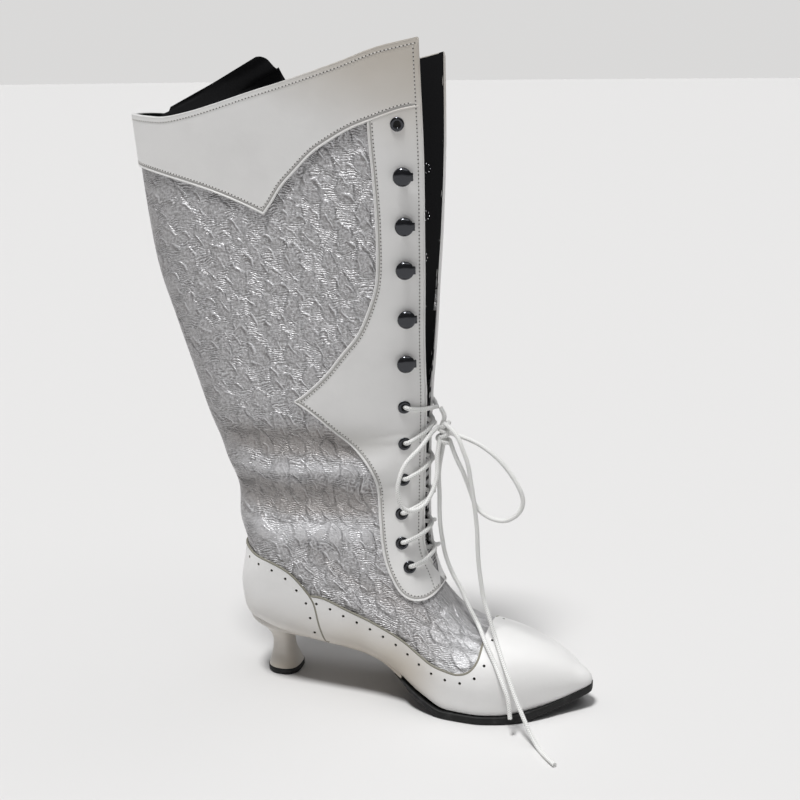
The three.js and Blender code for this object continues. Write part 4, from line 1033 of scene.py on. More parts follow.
class BootSizes(bpy.types.PropertyGroup):
    """Sizes of the boot's trims and relief."""

    crease_share: bpy.props.FloatProperty(
        name="Creases", description="How deep the wear creases are", default=1.0, min=0, max=2
    )
    edge_roll: length_property("Edge roll", "Thickness of a folded leather edge", 1.35 * MM)
    stitch_length: length_property("Stitch", "Length of one stitch", 1.5 * MM)
    stitch_pitch: length_property("Stitch pitch", "From one stitch to the next", 2.35 * MM)
    stitch_width: length_property("Thread", "Thickness of the seam thread", 0.5 * MM)
    seam_inset: length_property("Seam inset", "From a folded edge to its seam", 2.6 * MM)
    hole_width: length_property("Punched hole", "Width of a punched hole", 2.0 * MM)
    hole_pitch: length_property("Hole pitch", "From one punched hole to the next", 10.2 * MM)
    hole_inset: length_property("Hole inset", "From a cut edge to its holes", 5.2 * MM)
    leaf_width: length_property("Leaf width", "Width of the leaf repeat", 25 * MM)
    leaf_height: length_property("Leaf height", "Height of the leaf repeat", 31 * MM)
    leaf_relief: length_property("Leaf relief", "How far the leaves stand up", 2.3 * MM)
    rib_pitch: length_property("Rib pitch", "From one rib of the weave to the next", 1.5 * MM)
    stroke_length: length_property("Stroke length", "Raised strokes of the brocade", 12 * MM)
    stroke_gap: length_property("Stroke gap", "From stroke to stroke across them", 10 * MM)


class BootColours(bpy.types.PropertyGroup):
    """Colours of the boot and its stage."""

    leather: colour_property("Leather", "Lit colour of the white leather", (0.77, 0.765, 0.755))
    leather_shade: colour_property("Leather shade", "Duller patches", (0.74, 0.735, 0.725))
    cut_edge: colour_property("Cut edge", "Raw edge of the leather", (0.235, 0.225, 0.185))
    # Painted shade: the groove colour is a flat dark strip lying beside each folded edge
    groove: colour_property("Groove", "Shaded groove beside a folded edge", (0.40, 0.39, 0.375))
    # The brocade's tone runs between these two: partly the cloth's threads and ground, partly painted light
    # and shade of the relief
    brocade: colour_property("Brocade", "Raised threads", (0.84, 0.84, 0.86))
    brocade_low: colour_property("Brocade ground", "Between the threads", (0.25, 0.24, 0.24))
    lining: colour_property("Lining", "Black lining", (0.006, 0.006, 0.007))
    rubber: colour_property("Rubber", "Sole and top piece", (0.012, 0.012, 0.012))
    metal: colour_property("Metal", "Eyelets and hooks", (0.06, 0.062, 0.068))
    thread: colour_property("Thread", "Seam thread", (0.66, 0.65, 0.63))
    cord: colour_property("Lace", "Raised strands of the lace", (0.84, 0.84, 0.82))
    cord_shade: colour_property("Lace shade", "Between the strands", (0.55, 0.55, 0.54))
    floor: colour_property("Floor", "Plain floor", (0.66, 0.655, 0.65))


def boot_sizes():
    return bpy.context.scene.boot_sizes

# Shared outlines and cutters


def smooth_share(value, low, high):
    """0 below low, 1 above high, soft between."""
    u = np.clip((value - low) / (high - low), 0, 1)
    return u * u * (3 - 2 * u)


COLLAR_FORE_START = -97 * MM
COLLAR_MIDDLE = -30 * MM
SEAT = FIT + OVERLAY + FIT
FACE = FIT + OVERLAY
COVER_END = 0.368 * FOOT_LENGTH
COVER_INSET = 3.4 * MM
WRAP = 1.6 * MM
GROOVE_INSET = 1.5 * MM
COVER_REAR_SHARE = 0.15
COVER_THINNEST = 0.02
CORD_STEP = 1.2 * MM
CORD_SIDES = 12
PAST_TOE = 1.2 * FOOT_LENGTH
UNDER_SOLE = -20 * MM
NEEDLE_HOLE = 0.48 * MM
DRILL_LENGTH = 3.2 * MM


def collar_height(x, y, lift=0.0):
    """Height of the collar's edge, a little lower on the inner side of the front."""
    edge = trace(COLLAR_EDGE)
    share = np.maximum(0, x - COLLAR_FORE_START) / CALF_DEPTH
    slope = FAR_CORNER_DROP / (0.75 * CALF_WIDTH) * share
    return np.interp(x, edge[:, 0], edge[:, 1]) - slope * (y - COLLAR_MIDDLE) + lift


def above_collar():
    edge = spaced(trace(COLLAR_EDGE), 6 * MM)
    half = BALL_WIDTH
    top = 1.4 * BOOT_HEIGHT
    rings = []
    for x, _ in edge:
        left = collar_height(x, -half)
        right = collar_height(x, half)
        rings.append([(x, -half, left), (x, half, right), (x, half, top), (x, -half, top)])
    return closed(rings)


def outward(shape):
    """The shape with its faces turned to look outwards."""
    points, faces = shape
    total = 0.0
    for face in faces:
        a = points[face[0]]
        for k in range(1, len(face) - 1):
            total += float(np.dot(a, np.cross(points[face[k]], points[face[k + 1]])))
    return shape if total > 0 else (points, [tuple(reversed(face)) for face in faces])


def closed(rings):
    """Solid skin through rings, its faces looking outwards."""
    return outward(from_rings(np.array(rings)))


def ahead_of_opening():
    edge = trace(OPENING_EDGE)
    far = 2 * FOOT_LENGTH
    return outward(side_slab([*edge, (far, edge[-1][1]), (far, edge[0][1])]))


def below_bottom(lift):
    x = np.linspace(-0.3 * FOOT_LENGTH, 1.1 * FOOT_LENGTH, 120)
    edge = np.stack([x, last_bottom(x) + lift], -1)
    low = -60 * MM
    return outward(side_slab([*edge, (x[-1], low), (x[0], low)]))


def sole_plan(grow, step=4 * MM):
    """Stations along the sole: place, outer edge and inner edge."""
    rows = np.array(SOLE_ROWS)
    at = -rows[:, 0] * FOOT_LENGTH
    out = curve_through(at, rows[:, 1] * BALL_WIDTH - grow)
    into = curve_through(at, rows[:, 2] * BALL_WIDTH + grow)
    stations = []
    for start, end in zip(at[:-1], at[1:]):
        count = max(1, int(round((end - start) / step)))
        stations.extend(np.linspace(start, end, count, endpoint=False))
    stations = np.array([*stations, at[-1]])
    return -stations, out(stations), into(stations)


def plate(plan, top_of, bottom_of, corner=0.0):
    """Flat piece along the foot with upright, rounded sides."""
    x, out, into = plan
    rings = []
    for station, low, high in zip(x, out, into):
        top, bottom = float(top_of(station)), float(bottom_of(station))
        r = min(corner, 0.45 * (top - bottom), 0.45 * (high - low))
        if r <= 0:
            rings.append([(station, low, top), (station, low, bottom),
                          (station, high, bottom), (station, high, top)])
            continue
        ring = []
        corners = ((low + r, top - r, 90), (low + r, bottom + r, 180),
                   (high - r, bottom + r, 270), (high - r, top - r, 0))
        for cy, cz, start in corners:
            for turn in (0, 30, 60, 90):
                a = math.radians(start + turn)
                ring.append((station, cy + r * math.cos(a), cz + r * math.sin(a)))
        rings.append(ring)
    return closed(rings)


def wide_enough(plan):
    x, out, into = plan
    keep = into - out > 4 * MM
    return x[keep], out[keep], into[keep]


def largest(shape):
    """The biggest connected part of a shape."""
    points, faces = shape
    parent = np.arange(len(points))

    def root(i):
        while parent[i] != i:
            parent[i] = parent[parent[i]]
            i = parent[i]
        return i

    for face in faces:
        first = root(face[0])
        for corner in face[1:]:
            parent[root(corner)] = first
    roots = np.array([root(face[0]) for face in faces])
    names, counts = np.unique(roots, return_counts=True)
    main = names[np.argmax(counts)]
    kept = [face for face, name in zip(faces, roots) if name == main]
    used = sorted({corner for face in kept for corner in face})
    number = {old: new for new, old in enumerate(used)}
    return points[used], [tuple(number[c] for c in face) for face in kept]


def leather_panel(node, outline, cuts, edge="Folded leather edge"):
    """One leather piece that lies on the upper inside a side-view outline."""
    tools = [last_form(FIT, MEDIUM_GRID), *cuts]
    shape = largest(carve(last_form(FACE, FINE_GRID), keeps=[outward(side_slab(outline))], cuts=tools))
    looks = ["White leather", "White leather", edge]
    add_piece("made_" + node, shape, looks, nodes=[node], paint=face_sides(shape), mapped=True)


def cuff_edge():
    return np.vstack([trace(CUFF_REAR), trace(CUFF_FORE)[1:]])


def above(edge, drop=0.0):
    """Closed outline of everything above an edge that runs forward."""
    lowered = [(x, z - drop) for x, z in edge]
    tail = lowered[-1]
    top = 1.3 * BOOT_HEIGHT
    return [*lowered, (tail[0] + 60 * MM, tail[1]), (PAST_TOE, top),
            (-FOOT_LENGTH, top), (-FOOT_LENGTH, lowered[0][1])]


def collar_line(distance, drop=0.0):
    """The collar's edge from the outer front corner round the back to the inner one."""
    phi = np.concatenate([np.linspace(0.02, math.pi, 260), np.linspace(-math.pi, -0.02, 260)[1:]])
    low = np.full_like(phi, 20.0)
    high = np.full_like(phi, float(LAST_ROW))
    for _ in range(30):
        t = (low + high) / 2
        p = place(t, phi, distance)[0]
        under = p[:, 2] < collar_height(p[:, 0], p[:, 1], -drop)
        low = np.where(under, t, low)
        high = np.where(under, high, t)
    points, normals = place(t, phi, distance)
    edge = trace(OPENING_EDGE)
    keep = points[:, 0] < np.interp(points[:, 2], edge[:, 1], edge[:, 0]) - 0.4 * drop
    return points[keep], normals[keep]


def under_collar(points, drop=0.0):
    return points[:, 2] < collar_height(points[:, 0], points[:, 1], -drop)


def under_cuff(points):
    cuff = cuff_edge()
    return points[:, 2] < np.interp(points[:, 0], cuff[:, 0], cuff[:, 1])


def behind_opening(points, gap=0.0):
    edge = trace(OPENING_EDGE)
    ahead = points[:, 0] > np.interp(points[:, 2], edge[:, 1], edge[:, 0]) - gap
    return ~(ahead & (points[:, 2] > edge[0, 1]))


def above_sole(points, gap):
    return points[:, 2] > last_bottom(points[:, 0]) + gap


def both_lines(outline, distance, limit=None, *settings):
    """A side-view outline on the outer and on the inner side, where the limit lets it be."""
    lines = []
    for side in (OUTER, INNER):
        points, normals = surface_line(outline, side, distance)
        if limit is not None:
            keep = limit(points, *settings)
            points, normals = points[keep], normals[keep]
        lines.append((points, normals))
    return lines


def beside(outline, distance):
    return inset(spaced(outline, MM), distance)


# Seams and holes


def stamp(template, points, normals, runs):
    """Copies of a small shape, its x along the run and its z along the normal."""
    base_points, base_faces = template
    runs = unit(runs - normals * np.sum(runs * normals, axis=1, keepdims=True))
    across = np.cross(normals, runs)
    frames = np.stack([runs, across, normals], axis=1)
    placed = np.einsum("vk,nkd->nvd", base_points, frames) + points[:, None, :]
    n = len(base_points)
    faces = []
    for k in range(len(points)):
        faces.extend([tuple(i + k * n for i in face) for face in base_faces])
    return placed.reshape(-1, 3), faces


def even(points, normals, pitch):
    """Points, normals and runs at an even pitch along a line."""
    steps = np.linalg.norm(np.diff(points, axis=0), axis=1)
    lengths = np.concatenate([[0], np.cumsum(steps)])
    count = max(1, int(lengths[-1] / pitch))
    at = (np.arange(count) + 0.5) * lengths[-1] / count

    def pick(values, where):
        return np.stack([np.interp(where, lengths, values[:, k]) for k in range(3)], -1)

    run = pick(points, at + 0.2 * MM) - pick(points, at - 0.2 * MM)
    return pick(points, at), unit(pick(normals, at)), unit(run)


def stitch_shape():
    sizes = boot_sizes()
    half = sizes.stitch_length / 2
    r = sizes.stitch_width / 2
    rings = []
    for at, size, lift in ((-1, 0.35, -0.5), (-0.8, 0.9, 0.2), (0, 1, 0.5), (0.8, 0.9, 0.2), (1, 0.35, -0.5)):
        a = np.arange(6) / 6 * 2 * math.pi
        rings.append(np.stack([np.full(6, at * half), r * size * np.cos(a),
                               r * size * np.sin(a) + lift * r], -1))
    return closed(rings)


def disc_shape(radius, height, sides=10):
    a = np.arange(sides) / sides * 2 * math.pi
    low = np.stack([radius * np.cos(a), radius * np.sin(a), np.zeros(sides)], -1)
    return closed([low, low + (0, 0, height)])


def add_seam(name, lines):
    """Stitches with needle holes between them along one or more lines."""
    pitch = boot_sizes().stitch_pitch
    parts, paint = [], []
    for points, normals in lines:
        at, up, run = even(points, normals, pitch)
        holes = disc_shape(NEEDLE_HOLE, 0.05 * MM, 6)
        for number, (template, where) in enumerate(((stitch_shape(), at), (holes, at - run * pitch / 2))):
            parts.append(stamp(template, where, up, run))
            paint.extend([number] * len(parts[-1][1]))
    add_piece(name, merge(parts), ["Seam thread", "Needle hole"], paint=paint)


def add_roll(name, lines, across, along_normal, look="Folded leather edge", sides=10, sharp=80):
    """Rounded edge, or flat strip of painted groove shade, along one or more lines."""
    flat = along_normal / across
    parts = [sweep(points, across, sides, normals, flat, taper=2) for points, normals in lines]
    add_piece(name, merge(parts), [look], sharp=sharp)


def add_groove_shade(name, outline, limit, *settings):
    """Dark flat strip of painted shade beside a folded edge, where the stitches pull a groove into the
    leather.
    """
    lines = both_lines(beside(outline, GROOVE_INSET), FACE, limit, *settings)
    add_roll(name, lines, 0.55 * MM, 0.16 * 0.55 * MM, "Stitched groove", 8, 35)


def cut_edge(name, line):
    """Raw grey edge of a leather piece, seen as a thin line round it."""
    lines = both_lines(spaced(line, MM), FACE - 0.3 * MM, above_sole, MM)
    add_roll(name, lines, 0.8 * MM, 0.55 * MM, "Cut leather edge")


def punched_panel(node, word, region, lines, edge):
    """Leather piece with holes along lines, dark floors under the holes and a raw edge."""
    sizes = boot_sizes()
    cutters, floors = [], []
    for points, normals in lines:
        at, up, run = even(points, normals, sizes.hole_pitch)
        drill = disc_shape(sizes.hole_width / 2, DRILL_LENGTH, 14)
        cutters.append(stamp(drill, at - up * 0.2 * MM, up, run))
        floor = disc_shape(0.56 * sizes.hole_width, 0.12 * MM, 14)
        floors.append(stamp(floor, at - up * 0.05 * MM, up, run))
    leather_panel(node, region, [below_bottom(-WRAP), merge(cutters)], "Cut leather edge")
    add_piece(word + "_hole_floors", merge(floors), ["Punched hole"])
    cut_edge(word + "_cut_edge", edge)


def lace_places(hooks):
    """Number and place of each eyelet, or of each hook, with what tells its sides apart."""
    for number, (at, up, hook) in enumerate(LACING, start=1):
        if hook == hooks:
            for side, word in ((OUTER, "outer"), (INNER, "inner")):
                yield f"{word}_{number}", at * FOOT_LENGTH, up * BOOT_HEIGHT, side


def place_one(x, z, side, distance):
    points, normals = side_at(np.array([x]), np.array([z]), side, distance)
    return points[0], normals[0]


# Cords


def cord_path(rows):
    points = [(at * FOOT_LENGTH, side * BALL_WIDTH, up * BOOT_HEIGHT) for at, side, up in rows]
    return spaced(through(points), CORD_STEP)


def add_cord(name, path, nodes=()):
    """Round cord along a path with its own map along and round it."""
    radius = LACE / 2
    sides = CORD_SIDES
    points, faces = sweep(path, radius, sides)
    mesh = make_mesh(name, points, faces)
    mesh.materials.append(finish("White cord"))
    mesh.polygons.foreach_set("use_smooth", np.ones(len(mesh.polygons), dtype=bool))
    mesh.set_sharp_from_angle(angle=math.radians(60))
    lengths = np.concatenate([[0], np.cumsum(np.linalg.norm(np.diff(path, axis=0), axis=1))])
    layer = mesh.uv_layers.new(name="along")
    ringed = len(path) * sides
    for face in mesh.polygons:
        corners = [mesh.loops[k].vertex_index for k in face.loop_indices]
        wraps = max(c % sides for c in corners if c < ringed) == sides - 1
        for k, corner in zip(face.loop_indices, corners):
            if corner >= ringed:
                layer.data[k].uv = (0, 0)
                continue
            round_ = corner % sides
            if wraps and round_ == 0:
                round_ = sides
            layer.data[k].uv = (round_ / sides, lengths[corner // sides])
    piece = add_object(name, mesh)
    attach(piece, "root")
    if nodes:
        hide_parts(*nodes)
    return piece


# Operators

CAMERA_PLACE = (0.330265, -0.784875, 0.430316)
CAMERA_TURN = 17.157
CAMERA_DROP = 15.033
CAMERA_ROLL = -0.503
CAMERA_LENS = 56.68
FLOOR_REACH = 30
FLOOR_CORNERS = 64
KNOT_AT = 0.4735
KNOT_UP = 0.4345
# columns: lift, lean and radius in mm
KNOT_WRAPS = ((1.6, 1.8, 3.4), (-1.7, -1.6, 3.6), (-5.2, 1.5, 4.1), (-8.6, -1.4, 4.3))
# columns: name, where it shines from, how wide it looks in degrees, power
LIGHTS = (("key_light", (-0.17, -0.36, 1.40), 12, 2.85), ("top_light", (0.30, 0.10, 1.40), 60, 0.9))
SKY_BAND = (0.16, 0.05)
SKY_ABOVE = (0.10, 0.10, 0.105)
SKY_AT_HORIZON = (0.70, 0.695, 0.69)


class BOOT_OT_stage(bpy.types.Operator):
    """Makes the floor, the soft light and the camera at the photo's angle"""

    bl_idname = "boot.stage"
    bl_label = "Stage"

    def execute(self, context):
        scene = context.scene
        turn, drop, roll = (math.radians(v) for v in (CAMERA_TURN, CAMERA_DROP, CAMERA_ROLL))
        back = Vector((math.sin(turn) * math.cos(drop), -math.cos(turn) * math.cos(drop), math.sin(drop)))
        right = (-back).cross(Vector((0, 0, 1))).normalized()
        up = right.cross(-back)
        right_rolled = right * math.cos(roll) + up * math.sin(roll)
        up_rolled = up * math.cos(roll) - right * math.sin(roll)
        data = bpy.data.cameras.new("Camera")
        data.lens = CAMERA_LENS
        data.sensor_width = 36
        data.clip_start = 0.01
        data.clip_end = 100
        camera = add_object("Camera", data)
        turned_to = Matrix((right_rolled, up_rolled, back)).transposed().to_4x4()
        camera.matrix_world = Matrix.Translation(CAMERA_PLACE) @ turned_to
        scene.camera = camera

        scene.world = bpy.data.worlds.new("Studio")
        graph = Graph(scene.world)
        share = graph.band(graph.parts(graph.here("Generated"))[2], *SKY_BAND)
        graph.feed(graph.mix(share, SKY_ABOVE, SKY_AT_HORIZON), graph.nodes["Background"].inputs["Color"])
        scene.view_settings.view_transform = "Standard"

        around = np.arange(FLOOR_CORNERS) / FLOOR_CORNERS * 2 * math.pi
        rim = np.stack([FLOOR_REACH * np.cos(around), FLOOR_REACH * np.sin(around), 0 * around], -1)
        mesh = make_mesh("floor", rim, [tuple(range(FLOOR_CORNERS))])
        pale = Graph(bpy.data.materials.new("Pale floor"))
        mesh.materials.append(pale.shade(colour=tuple(scene.boot_colours.floor), rough=0.9, shine=0.1))
        floor = add_object("floor", mesh)

        for name, where, wide, power in LIGHTS:
            lamp = bpy.data.lights.new(name, "SUN")
            lamp.angle = math.radians(wide)
            lamp.energy = power
            thing = add_object(name, lamp)
            thing.location = where
            thing.rotation_euler = (-Vector(where)).to_track_quat("-Z", "Y").to_euler()
        return {"FINISHED"}


class BOOT_OT_lace_ends(bpy.types.Operator):
    """Makes the knot, the two bow loops and the two hanging ends of the lace"""

    bl_idname = "boot.lace_ends"
    bl_label = "Knot, loops and ends"

    def execute(self, context):
        knot = add_cord("made_lace_knot", cord_path(LACE_KNOT), ["lace_knot"])
        middle = np.array([KNOT_AT * FOOT_LENGTH, -0.5 * MM, KNOT_UP * BOOT_HEIGHT])
        for number, (lift, lean, wide) in enumerate(KNOT_WRAPS, start=1):
            turn = np.linspace(0, 2 * math.pi, 25)[:-1]
            ring = np.stack([wide * MM * np.cos(turn), wide * MM * np.sin(turn),
                             lean * MM * np.cos(turn) + lift * MM + 0 * turn], -1) + middle
            add_cord(f"knot_wrap_{number}", np.vstack([ring, ring[:1]]))
        tables = (
            ("bow_loop_outer", BOW_LOOP_OUTER, "knot"),
            ("bow_loop_fore", BOW_LOOP_FORE, "knot"),
            ("lace_end_one", LACE_END_ONE, "bare"),
            ("lace_end_two", LACE_END_TWO, "bare"),
        )
        for name, rows, far_end in tables:
            path = cord_path(rows)
            piece = add_cord("made_" + name, path, [name])
        return {"FINISHED"}


class BOOT_OT_upper(bpy.types.Operator):
    """Makes the hollow brocade upper with its black lining"""

    bl_idname = "boot.upper"
    bl_label = "Upper"

    def execute(self, context):
        outer = last_form(0.0, FINE_GRID)
        inner = last_form(-WALL, MEDIUM_GRID)
        under = plate(wide_enough(sole_plan(-7 * MM)), lambda x: last_bottom(x) + WALL + 2 * MM,
                      lambda x: last_bottom(x) - 20 * MM)
        shell = largest(carve(outer, cuts=[inner, above_collar(), ahead_of_opening(), under]))
        looks = ["Brocade", "Black lining", "Folded leather edge"]
        add_piece("made_upper", shell, looks, ["upper"], face_sides(shell), mapped=True)
        return {"FINISHED"}


class BOOT_OT_cuff(bpy.types.Operator):
    """Makes the white cuff, its folded edges and its seams"""

    bl_idname = "boot.cuff"
    bl_label = "Cuff"

    def execute(self, context):
        sizes = boot_sizes()
        edge = cuff_edge()
        leather_panel("cuff", above(edge), [above_collar(), ahead_of_opening()])
        roll = sizes.edge_roll / 2
        add_roll("cuff_lower_fold", both_lines(edge, FACE - 0.6 * roll, behind_opening), roll, roll)
        add_groove_shade("cuff_groove", edge, behind_opening, 2 * MM)
        middle = (FACE - WALL) / 2
        add_roll("collar_fold", [collar_line(middle, 0.2 * MM)], 0.75 * MM, (FACE + WALL) / 2 + 0.15 * MM)
        seams = both_lines(beside(edge, sizes.seam_inset), FACE, behind_opening, 4 * MM)
        add_seam("cuff_seams", [*seams, collar_line(FACE, sizes.seam_inset + 0.6 * MM)])
        return {"FINISHED"}


class BOOT_OT_lace_facing(bpy.types.Operator):
    """Makes the white lace facing, its folded edges and its seams"""

    bl_idname = "boot.lace_facing"
    bl_label = "Lace facing"

    def execute(self, context):
        back = np.vstack([trace(FACING_UPPER), trace(FACING_LOWER)[1:]])
        opening = trace(OPENING_EDGE)
        region = [*back, (PAST_TOE, back[-1][1]), (PAST_TOE, back[0][1])]
        cuff_low = outward(side_slab(above(cuff_edge(), 0.1 * MM)))
        leather_panel("lace_facing", region, [cuff_low, ahead_of_opening()])
        roll = boot_sizes().edge_roll / 2
        inset_by = boot_sizes().seam_inset
        add_roll("facing_back_fold", both_lines(back, FACE - 0.6 * roll, under_cuff), roll, roll)
        add_groove_shade("facing_groove", back, under_cuff)
        edges = both_lines(beside(opening, 0.1 * MM), (FACE - WALL) / 2, under_collar)
        add_roll("facing_front_fold", edges, 0.7 * MM, (FACE + WALL) / 2 + 0.1 * MM)
        rear = both_lines(beside(back, inset_by), FACE, under_cuff)
        front = both_lines(beside(opening, inset_by + 0.4 * MM), FACE, under_collar, inset_by + MM)
        add_seam("facing_seams", [rear[0], front[0], rear[1], front[1]])
        return {"FINISHED"}


class BOOT_OT_counter(bpy.types.Operator):
    """Makes the white counter round the heel with its punched holes"""

    bl_idname = "boot.counter"
    bl_label = "Counter"

    def execute(self, context):
        top = trace(COUNTER_TOP)
        seam = trace(HEEL_SEAM)
        region = [(-FOOT_LENGTH, top[0][1]), *top, *seam[1:], (seam[-1][0], UNDER_SOLE),
                  (-FOOT_LENGTH, UNDER_SOLE)]
        edge = np.vstack([top, seam[1:]])
        holes = both_lines(beside(edge, -boot_sizes().hole_inset), FIT, above_sole, 4 * MM)
        punched_panel("counter", "counter", region, holes, edge)
        return {"FINISHED"}


class BOOT_OT_vamp_wing(bpy.types.Operator):
    """Makes the white wing over toe and waist with its punched holes"""

    bl_idname = "boot.vamp_wing"
    bl_label = "Vamp wing"

    def execute(self, context):
        top = trace(WING_TOP)
        tip = top[-1]
        seam = trace(HEEL_SEAM)[1:] + (0.25 * MM, 0)
        high = tip[1] + 40 * MM
        region = [*top, (tip[0], high), (PAST_TOE, high), (PAST_TOE, UNDER_SOLE),
                  (seam[-1][0], UNDER_SOLE), *seam[::-1]]
        holes = both_lines(beside(top, -boot_sizes().hole_inset), FIT)
        punched_panel("vamp_wing", "wing", region, holes, top)
        return {"FINISHED"}


class BOOT_OT_tongue(bpy.types.Operator):
    """Makes the long tongue, bowed across and lined in black"""

    bl_idname = "boot.tongue"
    bl_label = "Tongue"

    def execute(self, context):
        rows = TONGUE_ROWS
        centres = through([(at * FOOT_LENGTH, side * BALL_WIDTH, up * BOOT_HEIGHT)
                           for at, side, up, _, _ in rows], 8)
        numbers = np.arange(len(rows))
        at = np.linspace(0, len(rows) - 1, len(centres))
        half = curve_through(numbers, [row[3] * BALL_WIDTH for row in rows])(at)
        turn = curve_through(numbers, [math.radians(row[4]) for row in rows])(at)
        runs = unit(np.gradient(centres, axis=0))
        rings = []
        sides = np.linspace(-1, 1, 21)
        for centre, run, wide, angle in zip(centres, runs, half, turn):
            across = np.array([math.sin(angle), math.cos(angle), 0])
            across = unit(across - run * float(across @ run))
            face = np.cross(run, across)
            ring = []
            for deep in (-1, 1):
                for side in sides if deep < 0 else sides[::-1]:
                    bow = 0.1 * wide * (1 - side * side)
                    thin = 1 - 0.55 * abs(side) ** 10
                    ring.append(centre + across * side * wide
                                + face * (deep * TONGUE / 2 * thin + bow))
            rings.append(ring)
        body = closed(rings)
        zone = carve(last_form(FIT, COARSE_GRID), cuts=[last_form(-WALL - FIT, COARSE_GRID)])
        shape = largest(carve(body, cuts=[zone]))
        add_piece("made_tongue", shape, ["Black lining"], ["tongue"], sharp=50)
        return {"FINISHED"}


class BOOT_OT_soles(bpy.types.Operator):
    """Makes the insole, the thin sole, the covered heel and its top piece"""

    bl_idname = "boot.soles"
    bl_label = "Soles and heel"

    def execute(self, context):
        floor = WALL + FIT
        # The insole lies on the upper's turned-in edge, a little inside the outsole's outline
        board = plate(wide_enough(sole_plan(-0.5 * MM)), lambda x: last_bottom(x) + floor + INSOLE,
                      lambda x: last_bottom(x) + floor + 0.1 * MM)
        board = largest(carve(board, keeps=[last_form(-WALL - FIT, COARSE_GRID)]))
        add_piece("made_insole", board, ["Insole board"], ["insole"])

        # White cover over the rear of the sole, drawn in at the waist, black rubber in front of it
        x, out, into = sole_plan(0.0, 3 * MM)
        waist = 1 - smooth_share(x, COVER_END - 2 * MM, COVER_END + 12 * MM)
        behind = smooth_share(x, -16 * MM, 14 * MM)
        waist = waist * (COVER_REAR_SHARE + (1 - COVER_REAR_SHARE) * behind)
        out = out + COVER_INSET * waist
        into = into - COVER_INSET * waist

        def rubber_top(at):
            share = smooth_share(at, COVER_END - 2 * MM, COVER_END + 7 * MM)
            return sole_under(at) + sole_thick(at) * (COVER_THINNEST + (1 - COVER_THINNEST) * share)

        def cover_under(at):
            return np.maximum(rubber_top(at) - 0.05 * MM, sole_under(at) + 0.8 * MM)

        fore = x > COVER_END - 3 * MM
        rear = x < COVER_END + 7 * MM
        sole = plate((x[fore], out[fore], into[fore]), rubber_top, sole_under, 1.0 * MM)
        cover_plan = (x[rear], out[rear] + 0.1 * MM, into[rear] - 0.1 * MM)
        cover = plate(cover_plan, lambda at: sole_top(at) + 2 * MM, cover_under, 0.5 * MM)
        paint = [0] * len(sole[1]) + [1] * len(cover[1])
        add_piece("made_outsole", merge([sole, cover]), ["Black rubber", "White leather"],
                  ["outsole"], paint)

        # The heel from its seat down to its top piece
        rows = np.array(HEEL_ROWS)
        at = np.linspace(0, len(rows) - 1, 57)
        rear, fore, drop, half = [curve_through(np.arange(len(rows)), rows[:, k])(at) for k in range(4)]
        foot = TOP_PIECE + 0.05 * MM
        rings = []
        for k in range(len(at)):
            rings.append(heel_ring(rear[k] * FOOT_LENGTH, fore[k] * FOOT_LENGTH, half[k] * HEEL_WIDTH,
                                   lambda x, d=drop[k]: foot + (sole_top(x) - foot) * (1 - d)))
        heel = closed(rings)
        add_piece("made_heel", heel, ["White leather"], nodes=["heel"], sharp=60)

        # columns: height share, width share of the top piece
        low = rows[-1]
        rings = []
        for share, size in ((0, 0.95), (0.06, 0.99), (0.2, 1.02), (0.6, 1.03), (0.92, 1.03), (1, 1.01)):
            rings.append(heel_ring(low[0] * FOOT_LENGTH * size, low[1] * FOOT_LENGTH * size,
                                   low[3] * HEEL_WIDTH * size, lambda x, s=share: TOP_PIECE * s + 0 * x))
        add_piece("made_top_piece", closed(rings), ["Black rubber"], ["top_piece"], sharp=60)
        return {"FINISHED"}


def heel_ring(rear, fore, half, height_of, count=48):
    """D-shaped ring of the heel: flatter in front, round behind."""
    angle = np.arange(count) / count * 2 * math.pi
    c = np.cos(angle)
    s = np.sin(angle)
    power = np.where(c > 0, 3.0, 2.1)
    reach = (np.abs(c) ** power + np.abs(s) ** power) ** (-1 / power)
    x = (rear + fore) / 2 + (fore - rear) / 2 * c * reach
    return np.stack([x, half * s * reach, height_of(x)], -1)


class BOOT_OT_eyelets(bpy.types.Operator):
    """Makes the rolled eyelets on both facings"""

    bl_idname = "boot.eyelets"
    bl_label = "Eyelets"

    def execute(self, context):
        wide = EYELET_WIDTH / 2
        bore = EYELET_WIDTH / 4
        # Radius and height of the rolled rim, from outside to inside
        profile = [(wide, 0), (wide * 1.02, 0.35 * MM), (wide * 0.94, 0.8 * MM), (wide * 0.8, 1.08 * MM),
                   (wide * 0.64, 1.1 * MM), (bore * 1.04, 0.85 * MM), (bore * 0.94, 0.4 * MM),
                   (bore * 0.94, -0.1 * MM), (bore * 1.1, -0.1 * MM)]
        dark = [(bore * 1.02, -0.1 * MM), (bore * 1.02, 0.12 * MM)]
        for word, x, z, side in lace_places(hooks=False):
            base, axis = place_one(x, z, side, SEAT - 0.2 * MM)
            rings = turned(profile, 32, base, axis)
            ring = outward(from_rings(np.concatenate([rings, rings[:1]]), capped=False))
            add_piece(f"made_eyelet_{word}", ring, ["Gunmetal"], [f"eyelet_{word}"], sharp=50)
            floor = closed(turned(dark, 16, base, axis))
            add_piece(f"eyelet_dark_{word}", floor, ["Punched hole"])
        return {"FINISHED"}


